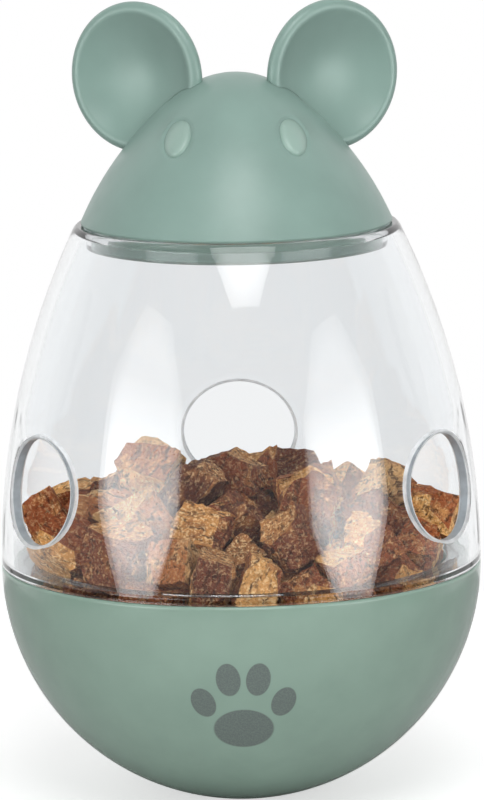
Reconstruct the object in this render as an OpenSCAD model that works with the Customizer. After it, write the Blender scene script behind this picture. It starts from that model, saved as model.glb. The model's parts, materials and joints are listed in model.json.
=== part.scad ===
// Roly-poly treat dispenser: a weighted bowl, a clear dome with treat holes and a mouse-head lid.
// Sizes are in millimetres. +Z is up, the toy stands on its flat foot at Z = 0, and the mouse faces -Y.

/* [Bowl] */
// Outside diameter of the bowl, the widest part of the toy
bowl_d = 80; // [74:1:96]
// Wall of the bowl
bowl_wall = 2.2; // [1.6:0.1:3]
// Diameter of the flat foot under the bowl
foot_d = 16; // [8:1:22]
// Wall of the bowl around its mouth, where the dome plugs in
mouth_wall = 2.4; // [1.8:0.1:3]

/* [Bayonet] */
// Number of lugs on the bowl, and on the dome
lug_count = 3; // [2:1:4]
// How far a lug stands out of its wall
lug_reach = 1; // [0.6:0.1:1.6]
// Height of a lug
lug_h = 1.8; // [1.2:0.1:2.4]
// Angle that a lug of the dome covers
dome_lug_span = 36; // [20:1:42]
// Depth of the bowl's lugs below its rim
lug_drop = 1; // [0.6:0.1:2]
// Angle that the stop under one end of each lug of the bowl covers
stop_span = 3; // [2:0.5:5]
// Angle left between a lug of the dome and its stop
stop_play = 0.6; // [0.3:0.1:1]

/* [Counterweight and floor] */
// Height of the counterweight's flat top above the foot
weight_top = 13; // [11:0.5:15]
// Thickness of the treat floor that covers the counterweight
floor_t = 2.6; // [2.2:0.1:4]
// Diameter of the bosses that the floor is screwed to
boss_d = 7; // [6:0.5:8]
// Radius of the circle on which the floor's bosses stand
floor_screw_r = 15; // [11:0.5:17]
// Number of screws in the floor
floor_screw_count = 3; // [2:1:4]

/* [Screws] */
// Shank diameter of the screws
screw_d = 3; // [2.5:0.1:3.5]
// Length of a screw's shank
screw_length = 8; // [6:0.5:8.5]
// Diameter of a screw's head
screw_head_d = 5.6; // [5:0.1:6]
// Height of a screw's head
screw_head_h = 1.6; // [1.2:0.1:1.8]
// Width of the cross recess in a screw's head
recess_w = 0.8; // [0.5:0.1:1]
// Length of the cross recess in a screw's head
recess_l = 3.2; // [2.4:0.1:4]
// Depth of the cross recess in a screw's head
recess_depth = 0.8; // [0.4:0.1:1]

/* [Dome] */
// Height of the dome above the bowl's rim
dome_h = 56.8; // [50:0.2:64]
// Wall of the dome
dome_wall = 2; // [1.4:0.1:2.6]
// Height of the ledge inside the dome, above its spigot
ledge_h = 2; // [1.4:0.1:3]
// Diameter of the treat holes
hole_d = 19.5; // [14:0.5:22]
// Number of treat holes around the dome
hole_count = 3; // [1:1:4]
// Height of the treat holes' centres above the bowl's rim
hole_height = 14.4; // [13:0.2:20]
// Bore of the neck that takes the lid's plug
neck_bore_d = 48; // [42:0.5:54]
// Width of the flat rim around the neck, on which the head rests
top_rim_w = 2.8; // [2.4:0.1:3.6]
// Thickness of the flat rim around the neck
top_rim_t = 1.8; // [1.6:0.1:2.4]
// Wall of the neck collar that hangs inside the dome's top
neck_wall = 1.1; // [0.8:0.1:1.6]
// Depth of the neck collar below the top rim
neck_depth = 3.8; // [3:0.1:5]

/* [Head] */
// Height of the head above its lower edge
head_h = 25; // [22:0.2:30]
// Radius of the rounded tip of the head
tip_r = 14.5; // [13:0.5:16]
// Radius of the head's flank, from the tip down to the lower edge
flank_r = 54; // [48:1:60]
// Wall of the head
head_wall = 2.2; // [1.8:0.1:2.6]

/* [Lid plug] */
// Depth of the plug's skirt below the head
plug_depth = 3.6; // [2.5:0.1:4.5]
// Wall of the plug's skirt
plug_wall = 1.8; // [1.2:0.1:2.4]
// Thickness of the plug's plate
plug_plate_t = 2.2; // [1.6:0.1:3]
// Radius of the circle on which the lid's bosses stand
lid_screw_r = 15; // [13:0.5:16]
// Diameter of the bosses in the head that the plug is screwed to
lid_boss_d = 6.4; // [5.8:0.2:7]
// Number of screws in the lid
lid_screw_count = 3; // [2:1:4]

/* [Ears] */
// Radius of the sphere that an ear's dish is a part of
dish_r = 17.5; // [14:0.5:20]
// Wall of an ear, which ends in a full round edge
ear_wall = 2.5; // [2:0.1:3]
// Distance of an ear's centre from the middle of the head
ear_x = 16.2; // [15:0.2:18]
// Distance of an ear's centre behind the middle of the head
ear_y = 4; // [2:0.2:6]
// Height of an ear's centre above the head's lower edge
ear_z = 24; // [22:0.2:26]
// Angle by which an ear turns outward from straight ahead
ear_turn = 31; // [20:1:45]
// Width of the tenon that goes through the head's wall and holds an ear
tenon_w = 8; // [6:0.5:9]
// How much thinner the tenon is than the ear's wall, on each side
tenon_step = 0.3; // [0.2:0.1:0.5]
// How far an ear's tenon comes through the head's wall
tenon_end = 0.5; // [0.2:0.1:1]

/* [Eyes] */
// Width of an eye, seen from the front
eye_w = 3.5; // [2.5:0.1:4.5]
// Length of an eye, seen from the front
eye_l = 6; // [5:0.1:7]
// Angle by which an eye leans toward the middle at its top
eye_lean = 26; // [0:1:40]
// Distance of an eye from the middle of the face
eye_x = 9.4; // [8:0.1:11]
// Height of an eye above the head's lower edge
eye_z = 15.2; // [13:0.1:17]
// How far an eye stands proud of the face
eye_proud = 0.4; // [0.2:0.1:0.8]
// Depth of the pocket that an eye sits in
eye_depth = 1; // [0.6:0.1:1.3]

/* [Clearances] */
// Gap between the turning faces of the bayonet
turn_gap = 0.2; // [0.1:0.05:0.3]
// Gap between the lid's plug and the neck
slide_gap = 0.1; // [0.05:0.05:0.2]
// Gap around the counterweight and the treat floor
seat_gap = 0.3; // [0.2:0.05:0.5]
// Gap between glued or pushed-in pieces
push_gap = 0.05; // [0.03:0.01:0.1]
// Gap around a screw's shank and head where it passes through a plate
screw_gap = 0.25; // [0.1:0.05:0.4]
// Groove left open around each eye
eye_groove = 0.3; // [0.2:0.05:0.5]

/* [Hidden] */
$fn = 180;

// Overlap that joins two shapes of one piece
bite = 0.4;
// Extra length that takes a cut past a face
past = 1;
// Side signs of the pieces that come in pairs
left = -1;
right = 1;

// Bowl: the rim lies on the sphere's equator, and the foot cuts the sphere off at Z = 0
bowl_r = bowl_d / 2;
bowl_inner_r = bowl_r - bowl_wall;
rim_z = sqrt(pow(bowl_r, 2) - pow(foot_d / 2, 2));
mouth_r = bowl_r - mouth_wall;

// Bayonet: the dome's lugs turn below the bowl's lugs
lug_pitch = 360 / lug_count;
lug_start = lug_pitch / 2;
bowl_lug_z = rim_z - lug_drop - lug_h;
dome_lug_z = bowl_lug_z - turn_gap - lug_h;
spigot_r = mouth_r - lug_reach - turn_gap;
spigot_end_z = dome_lug_z - bite;
mouth_end_z = spigot_end_z - bite;
bowl_lug_span = dome_lug_span + stop_play + stop_span;

// Floor: the screw heads sink into the floor
floor_top = weight_top + floor_t;
floor_seat_z = floor_top - screw_head_h;
screw_hole_d = screw_d + 2 * screw_gap;
head_hole_d = screw_head_d + 2 * screw_gap;
pilot_d = screw_d + 2 * push_gap;

// Dome: an ogive, one arc that leaves the bowl upright and ends at the top rim
neck_r = neck_bore_d / 2;
dome_top_r = neck_r + top_rim_w;
arc_x = (pow(dome_top_r, 2) + pow(dome_h, 2) - pow(bowl_r, 2)) / (2 * (bowl_r - dome_top_r));
arc_r = bowl_r + arc_x;
lid_z = rim_z + dome_h;
hole_z = rim_z + hole_height;
// Direction that faces straight back, where the first treat hole and the first screws are
back = 90;

// Two arcs that run into each other touch on a line through their centres, which here goes 3 across
// for each 4 up. Their centres and radii then have few digits, and no step is left between them
slant = [0.6, 0.8];

// Head: a tip circle inside a flank circle
tip_c = [0, head_h - tip_r];
flank_c = tip_c - (flank_r - tip_r) * slant;
head_r = flank_c.x + sqrt(pow(flank_r, 2) - pow(flank_c.y, 2));
head_d = 2 * head_r;

// Ear: a dish of two spheres with one centre, and a round edge that runs into both
ear_edge_r = ear_wall / 2;
ear_edge_c = (dish_r + ear_edge_r) * slant.x;
dish_c = (dish_r + ear_edge_r) * slant.y;
ear_d = 2 * (ear_edge_c + ear_edge_r);
// Angle between an ear's tenon and straight down
tenon_lean = 45;

plug_r = neck_r - slide_gap;

// A ring or part of one, from one radius to another
module ring_sector(r_in, r_out, z, h, start, span) {
    rotate([0, 0, start])
        rotate_extrude(angle = span)
            translate([r_in, z])
                square([r_out - r_in, h]);
}

// Places its children on a circle, the first one at the start angle
module on_circle(count, r, start) {
    for (i = [0 : count - 1])
        rotate([0, 0, start + i * 360 / count])
            translate([r, 0, 0])
                children();
}

// One screw with its shank down and the seat of its head at Z = 0
module screw() {
    translate([0, 0, -screw_length])
        cylinder(d = screw_d, h = screw_length + bite);
    difference() {
        cylinder(d = screw_head_d, h = screw_head_h);
        for (turn = [0, 90])
            rotate([0, 0, turn])
                translate([-recess_l / 2, -recess_w / 2, screw_head_h - recess_depth])
                    cube([recess_l, recess_w, recess_depth + past]);
    }
}

// A sphere about the middle of the bowl, cut to a band between two heights
module bowl_band(r, z_low, z_high) {
    rotate_extrude()
        intersection() {
            translate([0, rim_z])
                circle(r = r);
            translate([0, z_low])
                square([bowl_d, z_high - z_low]);
        }
}

module bowl_shell() {
    rotate_extrude()
        difference() {
            intersection() {
                translate([0, rim_z])
                    circle(r = bowl_r);
                square([bowl_d, rim_z]);
            }
            translate([0, rim_z])
                circle(r = bowl_inner_r);
            translate([0, mouth_end_z])
                square([mouth_r, bowl_r]);
        }
}

module bowl_lugs() {
    for (i = [0 : lug_count - 1]) {
        start = lug_start + i * lug_pitch + dome_lug_span / 2 - bowl_lug_span;
        ring_sector(mouth_r - lug_reach, mouth_r + bite, bowl_lug_z, lug_h, start, bowl_lug_span);
        ring_sector(mouth_r - lug_reach, mouth_r + bite, dome_lug_z, bowl_lug_z - dome_lug_z,
                    start, stop_span);
    }
}

module bowl() {
    color("#8CA998")
        difference() {
            union() {
                bowl_shell();
                bowl_lugs();
                intersection() {
                    on_circle(floor_screw_count, floor_screw_r, back)
                        cylinder(d = boss_d, h = weight_top);
                    bowl_band(bowl_r - bowl_wall / 2, 0, weight_top);
                }
            }
            on_circle(floor_screw_count, floor_screw_r, back)
                translate([0, 0, floor_seat_z - screw_length - bite])
                    cylinder(d = pilot_d, h = screw_length + bite + past);
        }
}

module counterweight() {
    color("#55585A")
        difference() {
            bowl_band(bowl_inner_r - seat_gap, 0, weight_top);
            on_circle(floor_screw_count, floor_screw_r, back)
                translate([0, 0, -past])
                    cylinder(d = boss_d + 2 * seat_gap, h = weight_top + 2 * past);
        }
}

module treat_floor() {
    color("#8CA998")
        difference() {
            bowl_band(bowl_inner_r - seat_gap, weight_top, floor_top);
            on_circle(floor_screw_count, floor_screw_r, back) {
                cylinder(d = screw_hole_d, h = floor_top + past);
                translate([0, 0, floor_seat_z])
                    cylinder(d = head_hole_d, h = screw_head_h + past);
            }
        }
}

module floor_screws() {
    color("#B9BCBE")
        on_circle(floor_screw_count, floor_screw_r, back)
            translate([0, 0, floor_seat_z])
                screw();
}

// The dome's ogive as a filled section, set in from its outside
module ogive_section(inset, low, high) {
    intersection() {
        translate([-arc_x, rim_z])
            circle(r = arc_r - inset);
        translate([0, low])
            square([bowl_d, high - low]);
    }
}

module dome_section() {
    difference() {
        union() {
            ogive_section(0, rim_z, lid_z);
            translate([0, spigot_end_z])
                square([spigot_r, rim_z - spigot_end_z + bite]);
        }
        difference() {
            ogive_section(dome_wall, rim_z + ledge_h, lid_z - top_rim_t);
            translate([0, lid_z - neck_depth])
                square([neck_r + neck_wall, neck_depth]);
        }
        translate([0, spigot_end_z - past])
            square([spigot_r - dome_wall, rim_z + ledge_h - spigot_end_z + 2 * past]);
        translate([0, lid_z - neck_depth - past])
            square([neck_r, neck_depth + 2 * past]);
    }
}

module dome() {
    color("#E6ECF0", 0.35) {
        difference() {
            rotate_extrude()
                dome_section();
            on_circle(hole_count, 0, back)
                translate([0, 0, hole_z])
                    rotate([0, 90, 0])
                        cylinder(d = hole_d, h = bowl_r + past);
        }
        for (i = [0 : lug_count - 1])
            ring_sector(spigot_r - bite, spigot_r + lug_reach, dome_lug_z, lug_h,
                        lug_start + i * lug_pitch - dome_lug_span / 2, dome_lug_span);
    }
}

// The head's profile as a filled section from its lower edge up, set in from its outside
module head_section(inset) {
    touch_z = tip_c.y + (tip_r - inset) * slant.y;
    intersection() {
        translate(flank_c)
            circle(r = flank_r - inset);
        square([head_d, touch_z]);
    }
    intersection() {
        translate(tip_c)
            circle(r = tip_r - inset);
        translate([0, touch_z])
            square([head_d, head_h]);
    }
}

module head_solid(inset) {
    translate([0, 0, lid_z])
        rotate_extrude()
            head_section(inset);
}

// An eye's outline, two round ends joined by a straight stretch, pushed through the face along Y
module eye_prism(side, grow) {
    ends = (eye_l - eye_w) / 2;
    translate([side * eye_x, 0, lid_z + eye_z])
        rotate([90, 0, 0])
            rotate([0, 0, side * eye_lean])
                linear_extrude(head_d) {
                    for (end = [-ends, ends])
                        translate([0, end])
                            circle(d = eye_w + 2 * grow);
                    square([eye_w + 2 * grow, 2 * ends], center = true);
                }
}

// Puts an ear at its place on the head, with its dish facing forward and outward.
// Its -X axis points down and inward, where it goes through the head's wall
module at_ear(side) {
    translate([side * ear_x, ear_y, lid_z + ear_z])
        rotate([0, 0, side * ear_turn])
            rotate([90, 0, 0])
                rotate([0, 0, 90 - side * tenon_lean])
                    children();
}

// An ear's wall as a section from its middle to its edge, grown on both faces
module ear_wall_section(grow) {
    difference() {
        intersection() {
            translate([0, dish_c])
                circle(r = dish_r + ear_wall + grow);
            polygon([[0, dish_c], [2 * ear_edge_c, -dish_c], [0, -dish_c]]);
        }
        translate([0, dish_c])
            circle(r = dish_r - grow);
    }
}

// The round edge of an ear as a half circle beyond its wall
module ear_edge_section() {
    intersection() {
        translate([ear_edge_c, 0])
            circle(r = ear_edge_r);
        polygon([[0, dish_c], [2 * ear_edge_c, -dish_c], [2 * ear_edge_c, dish_c]]);
    }
}

// The strip of an ear's wall that goes through the head's wall, grown on all sides
module ear_tenon(side, grow) {
    at_ear(side)
        intersection() {
            rotate_extrude()
                ear_wall_section(grow - tenon_step);
            translate([-ear_d, -tenon_w / 2 - grow, -ear_d])
                cube([ear_d, tenon_w + 2 * grow, 2 * ear_d]);
        }
}

module ear(side) {
    color("#8CA998") {
        difference() {
            at_ear(side)
                rotate_extrude() {
                    ear_wall_section(0);
                    ear_edge_section();
                }
            head_solid(-push_gap);
        }
        difference() {
            ear_tenon(side, 0);
            translate([0, 0, lid_z + tip_c.y])
                sphere(r = tip_r - head_wall - tenon_end);
        }
    }
}

module ear_left() {
    ear(left);
}

module ear_right() {
    ear(right);
}

module eye(side) {
    color("#98B5A4")
        difference() {
            intersection() {
                eye_prism(side, 0);
                head_solid(-eye_proud);
            }
            head_solid(eye_depth - push_gap);
        }
}

module eye_left() {
    eye(left);
}

module eye_right() {
    eye(right);
}

module head_shell() {
    color("#8CA998")
        difference() {
            union() {
                translate([0, 0, lid_z])
                    rotate_extrude()
                        difference() {
                            head_section(0);
                            head_section(head_wall);
                        }
                intersection() {
                    translate([0, 0, lid_z + plug_plate_t])
                        on_circle(lid_screw_count, lid_screw_r, back)
                            cylinder(d = lid_boss_d, h = head_h);
                    head_solid(head_wall / 2);
                }
            }
            translate([0, 0, lid_z])
                on_circle(lid_screw_count, lid_screw_r, back)
                    cylinder(d = pilot_d, h = screw_length + bite);
            for (side = [left, right]) {
                ear_tenon(side, push_gap);
                difference() {
                    eye_prism(side, eye_groove);
                    head_solid(eye_depth);
                }
            }
        }
}

module lid_plug() {
    color("#7C9888")
        translate([0, 0, lid_z])
            difference() {
                rotate_extrude() {
                    intersection() {
                        head_section(head_wall + push_gap);
                        square([head_r, plug_plate_t]);
                    }
                    translate([plug_r - plug_wall, -plug_depth])
                        square([plug_wall, plug_depth]);
                }
                on_circle(lid_screw_count, lid_screw_r, back)
                    cylinder(d = screw_hole_d, h = plug_plate_t + past);
            }
}

module lid_screws() {
    color("#B9BCBE")
        translate([0, 0, lid_z])
            on_circle(lid_screw_count, lid_screw_r, back)
                rotate([180, 0, 0])
                    screw();
}

bowl();
counterweight();
treat_floor();
floor_screws();
dome();
head_shell();
ear_left();
ear_right();
eye_left();
eye_right();
lid_plug();
lid_screws();
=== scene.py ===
"""Treat dispensing toy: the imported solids, dressed with smooth mouldings, finishes, treats and light."""

from __future__ import annotations

import json
import logging
import math
import random
import sys
from collections.abc import Callable, Iterator
from contextlib import contextmanager
from dataclasses import dataclass
from enum import Enum
from itertools import pairwise, product
from typing import Any

import bmesh
import bpy
import numpy as np
from mathutils import Matrix, Quaternion, Vector

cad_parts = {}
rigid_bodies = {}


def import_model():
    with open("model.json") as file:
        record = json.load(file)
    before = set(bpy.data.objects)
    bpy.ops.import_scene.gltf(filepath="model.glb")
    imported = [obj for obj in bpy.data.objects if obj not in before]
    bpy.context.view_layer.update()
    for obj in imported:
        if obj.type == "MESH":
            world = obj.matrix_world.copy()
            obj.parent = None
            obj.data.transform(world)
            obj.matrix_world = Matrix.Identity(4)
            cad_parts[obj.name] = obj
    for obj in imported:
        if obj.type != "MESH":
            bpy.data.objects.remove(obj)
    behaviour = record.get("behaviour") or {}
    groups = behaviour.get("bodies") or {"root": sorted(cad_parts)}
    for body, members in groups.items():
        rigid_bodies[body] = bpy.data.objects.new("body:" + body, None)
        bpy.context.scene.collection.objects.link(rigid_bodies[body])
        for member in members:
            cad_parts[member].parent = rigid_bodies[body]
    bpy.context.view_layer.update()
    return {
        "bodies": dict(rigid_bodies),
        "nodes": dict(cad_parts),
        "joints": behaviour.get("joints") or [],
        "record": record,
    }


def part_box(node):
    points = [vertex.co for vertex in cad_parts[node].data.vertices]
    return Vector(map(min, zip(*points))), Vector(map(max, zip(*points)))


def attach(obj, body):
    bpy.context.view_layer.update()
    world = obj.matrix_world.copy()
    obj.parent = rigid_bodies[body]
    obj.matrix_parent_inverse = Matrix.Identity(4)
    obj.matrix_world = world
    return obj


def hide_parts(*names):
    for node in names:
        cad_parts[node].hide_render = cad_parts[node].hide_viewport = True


Colour = tuple[float, float, float]
Outline = list[tuple[float, float]]
Loop = Callable[[float], Vector]

MM = 0.001
MERGE = 1e-6
LUG_STEPS = 24
SMOOTH_ANGLE = 32.0
BROAD_FACE_WEIGHT = 90

log = logging.getLogger("treat_toy")


class Side(Enum):
    """The toy's own sides, as the sign of X for someone who faces it."""

    LEFT = -1
    RIGHT = 1

    @property
    def word(self) -> str:
        """The side's name as a piece's name spells it."""
        return self.name.lower()


class Weld(Enum):
    """What a boolean does with its second solid."""

    JOIN = "UNION"
    CUT = "DIFFERENCE"


class DomeFinish(Enum):
    """The finishes of the dome's faces, by their place in its list of materials."""

    CLEAR = 0
    LIP = 1
    WALL = 2


class Roughness(Enum):
    """The patterns that roughen a treat, by the texture that makes them."""

    LUMPS = "CLOUDS"
    FIBRES = "WOOD"


# Bench work: outlines, lathes, windows and booleans


def clear_selection() -> None:
    """Deselects every object."""
    bpy.ops.object.select_all(action="DESELECT")


def pick(piece: bpy.types.Object) -> None:
    """Makes one piece the only selected and the active one.

    Args:
        piece: The object to work on.
    """
    clear_selection()
    piece.select_set(True)
    bpy.context.view_layer.objects.active = piece


def added(name: str) -> bpy.types.Object:
    """Names the primitive that was just added.

    Args:
        name: The name of the object and of its mesh.

    Returns:
        The object.
    """
    piece = bpy.context.object
    piece.name = name
    piece.data.name = name
    return piece


@contextmanager
def editing(piece: bpy.types.Object) -> Iterator[None]:
    """Opens a piece in edit mode and leaves it again.

    Args:
        piece: The mesh object to edit.
    """
    pick(piece)
    bpy.ops.object.mode_set(mode="EDIT")
    try:
        yield
    finally:
        bpy.ops.object.mode_set(mode="OBJECT")


def arc(centre: tuple[float, float], radius: float, start: float, end: float, steps: int) -> Outline:
    """Points along a circle in the plane of a lathe's outline.

    Args:
        centre: Distance of the circle's centre from the axis, and its height.
        radius: Radius of the circle.
        start: Angle of the first point in degrees, from straight outward.
        end: Angle of the last point in degrees.
        steps: Number of stretches between the points.

    Returns:
        The points, both ends included.
    """
    angles = [math.radians(start + (end - start) * i / steps) for i in range(steps + 1)]
    return [(centre[0] + radius * math.cos(a), centre[1] + radius * math.sin(a)) for a in angles]


def draw_outline(name: str, outline: Outline, closed: bool) -> bpy.types.Object:
    """Draws a lathe's outline in the XZ plane, one extruded point after another.

    Args:
        name: The new object's name.
        outline: Distance from the axis and height of each point.
        closed: True if the last point joins the first.

    Returns:
        The object, a chain of edges.
    """
    clear_selection()
    bpy.ops.mesh.primitive_plane_add(size=MM)
    piece = added(name)
    with editing(piece):
        bpy.ops.mesh.select_mode(type="VERT")
        bpy.ops.mesh.select_all(action="SELECT")
        bpy.ops.mesh.merge(type="CENTER")
        bpy.ops.transform.translate(value=(outline[0][0], 0, outline[0][1]))
        for (r0, z0), (r1, z1) in pairwise(outline):
            bpy.ops.mesh.extrude_region_move(TRANSFORM_OT_translate={"value": (r1 - r0, 0, z1 - z0)})
        if closed:
            mesh = bmesh.from_edit_mesh(piece.data)
            mesh.verts.ensure_lookup_table()
            mesh.verts[0].select_set(True)
            bmesh.update_edit_mesh(piece.data)
            bpy.ops.mesh.edge_face_add()
    return piece


def turn_outwards(merge: bool = False) -> None:
    """Turns every face of the mesh in edit mode outwards.

    Args:
        merge: True to merge doubled points first.
    """
    bpy.ops.mesh.select_all(action="SELECT")
    if merge:
        bpy.ops.mesh.remove_doubles(threshold=MERGE)
    bpy.ops.mesh.normals_make_consistent(inside=False)


def extrude_onto(piece: bpy.types.Object, loops: list[Loop], turn_of: Callable[[Vector], float]) -> None:
    """Extrudes what is selected in edit mode once for each loop, and moves its points onto the loop.

    Args:
        piece: The piece in edit mode.
        loops: Gives the point at an angle, for each loop in turn.
        turn_of: Gives a point's angle.
    """
    for loop in loops:
        bpy.ops.mesh.extrude_region()
        mesh = bmesh.from_edit_mesh(piece.data)
        for vertex in mesh.verts:
            if vertex.select:
                vertex.co = loop(turn_of(vertex.co))
        bmesh.update_edit_mesh(piece.data)


def lathe(name: str, outline: Outline, segments: int, closed: bool = False) -> bpy.types.Object:
    """Spins an outline once round the Z axis into a closed skin.

    Args:
        name: The new object's name.
        outline: Distance from the axis and height of each point.
        segments: Number of steps in the full turn.
        closed: True for a ring, whose last point joins the first.

    Returns:
        The spun object, merged and with its faces pointing outwards.
    """
    piece = draw_outline(name, outline, closed)
    with editing(piece):
        bpy.ops.mesh.select_all(action="SELECT")
        bpy.ops.mesh.spin(steps=segments, angle=2 * math.pi, center=(0, 0, 0), axis=(0, 0, 1))
        turn_outwards(merge=True)
    return piece


def ring_sector(name: str, radii: tuple[float, float], heights: tuple[float, float], start: float,
                span: float) -> bpy.types.Object:
    """Spins a rectangle through part of a turn, as a bayonet's lug.

    Args:
        name: The new object's name.
        radii: Inner and outer radius.
        heights: Lower and upper height.
        start: Angle of its first end in degrees.
        span: Angle from end to end in degrees.

    Returns:
        The closed lug.
    """
    (inner, outer), (low, high) = radii, heights
    corners = [(inner, low), (outer, low), (outer, high), (inner, high)]
    lug = draw_outline(name, corners, closed=True)
    with editing(lug):
        bpy.ops.mesh.select_all(action="SELECT")
        bpy.ops.mesh.edge_face_add()
        bpy.ops.mesh.spin(steps=LUG_STEPS, angle=math.radians(span), center=(0, 0, 0), axis=(0, 0, 1))
        turn_outwards(merge=True)
    place(lug, Matrix.Rotation(math.radians(start), 4, "Z"))
    return lug


def place(piece: bpy.types.Object, move: Matrix) -> None:
    """Moves a piece and puts the move into its mesh.

    Args:
        piece: The object to move.
        move: The move, in the row frame.
    """
    piece.matrix_world = move
    pick(piece)
    bpy.ops.object.transform_apply(location=True, rotation=True, scale=True)


def apply_modifiers(piece: bpy.types.Object) -> None:
    """Applies every modifier of a piece, in order.

    Args:
        piece: The piece.
    """
    pick(piece)
    for modifier in list(piece.modifiers):
        bpy.ops.object.modifier_apply(modifier=modifier.name)


def combine(piece: bpy.types.Object, tool: bpy.types.Object, weld: Weld) -> None:
    """Joins a solid to a piece or cuts it out, and removes the solid.

    Args:
        piece: The piece that stays.
        tool: The solid that is used up.
        weld: Whether it is joined or cut out.
    """
    modifier = piece.modifiers.new("weld", "BOOLEAN")
    modifier.object = tool
    modifier.operation = weld.value
    modifier.solver = "EXACT"
    apply_modifiers(piece)
    bpy.data.objects.remove(tool)


def smooth(piece: bpy.types.Object) -> None:
    """Shades a piece smooth, apart from its sharp edges, with its broad faces kept true.

    Args:
        piece: The piece to shade.
    """
    pick(piece)
    bpy.ops.object.shade_smooth_by_angle(angle=math.radians(SMOOTH_ANGLE))
    normals = piece.modifiers.new("normals", "WEIGHTED_NORMAL")
    normals.weight = BROAD_FACE_WEIGHT
    normals.keep_sharp = True
    apply_modifiers(piece)


@dataclass(frozen=True)
class Window:
    """An oval opening in a lathed skin, framed by loops of points that lie on the skin.

    Attributes:
        in_block: Tells whether a face, by its centre, makes room for the opening.
        on_front: Tells whether an edge, by its middle, is on the side that the loops start from.
        turn_of: Gives a point's angle round the opening.
        loops: Gives the point at an angle, for each loop in turn.
    """

    in_block: Callable[[Vector], bool]
    on_front: Callable[[Vector], bool]
    turn_of: Callable[[Vector], float]
    loops: list[Loop]

    def cut(self, piece: bpy.types.Object, through: bool) -> None:
        """Opens the skin and builds the loops.

        Args:
            piece: The lathed piece.
            through: True to bridge to the far side's opening, False to close the opening's floor.
        """
        with editing(piece):
            bpy.ops.mesh.select_mode(type="FACE")
            bpy.ops.mesh.select_all(action="DESELECT")
            mesh = bmesh.from_edit_mesh(piece.data)
            for face in mesh.faces:
                face.select_set(self.in_block(face.calc_center_median()))
            bmesh.update_edit_mesh(piece.data)
            bpy.ops.mesh.delete(type="FACE")
            bpy.ops.mesh.select_mode(type="EDGE")
            bpy.ops.mesh.select_all(action="DESELECT")
            mesh = bmesh.from_edit_mesh(piece.data)
            for edge in mesh.edges:
                middle = (edge.verts[0].co + edge.verts[1].co) / 2
                edge.select_set(edge.is_boundary and self.on_front(middle))
            bmesh.update_edit_mesh(piece.data)
            extrude_onto(piece, self.loops, self.turn_of)
            if through:
                mesh = bmesh.from_edit_mesh(piece.data)
                for edge in mesh.edges:
                    edge.select_set(edge.is_boundary)
                bmesh.update_edit_mesh(piece.data)
                bpy.ops.mesh.bridge_edge_loops()
            else:
                bpy.ops.mesh.edge_face_add()
            turn_outwards()


# Finishes


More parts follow.
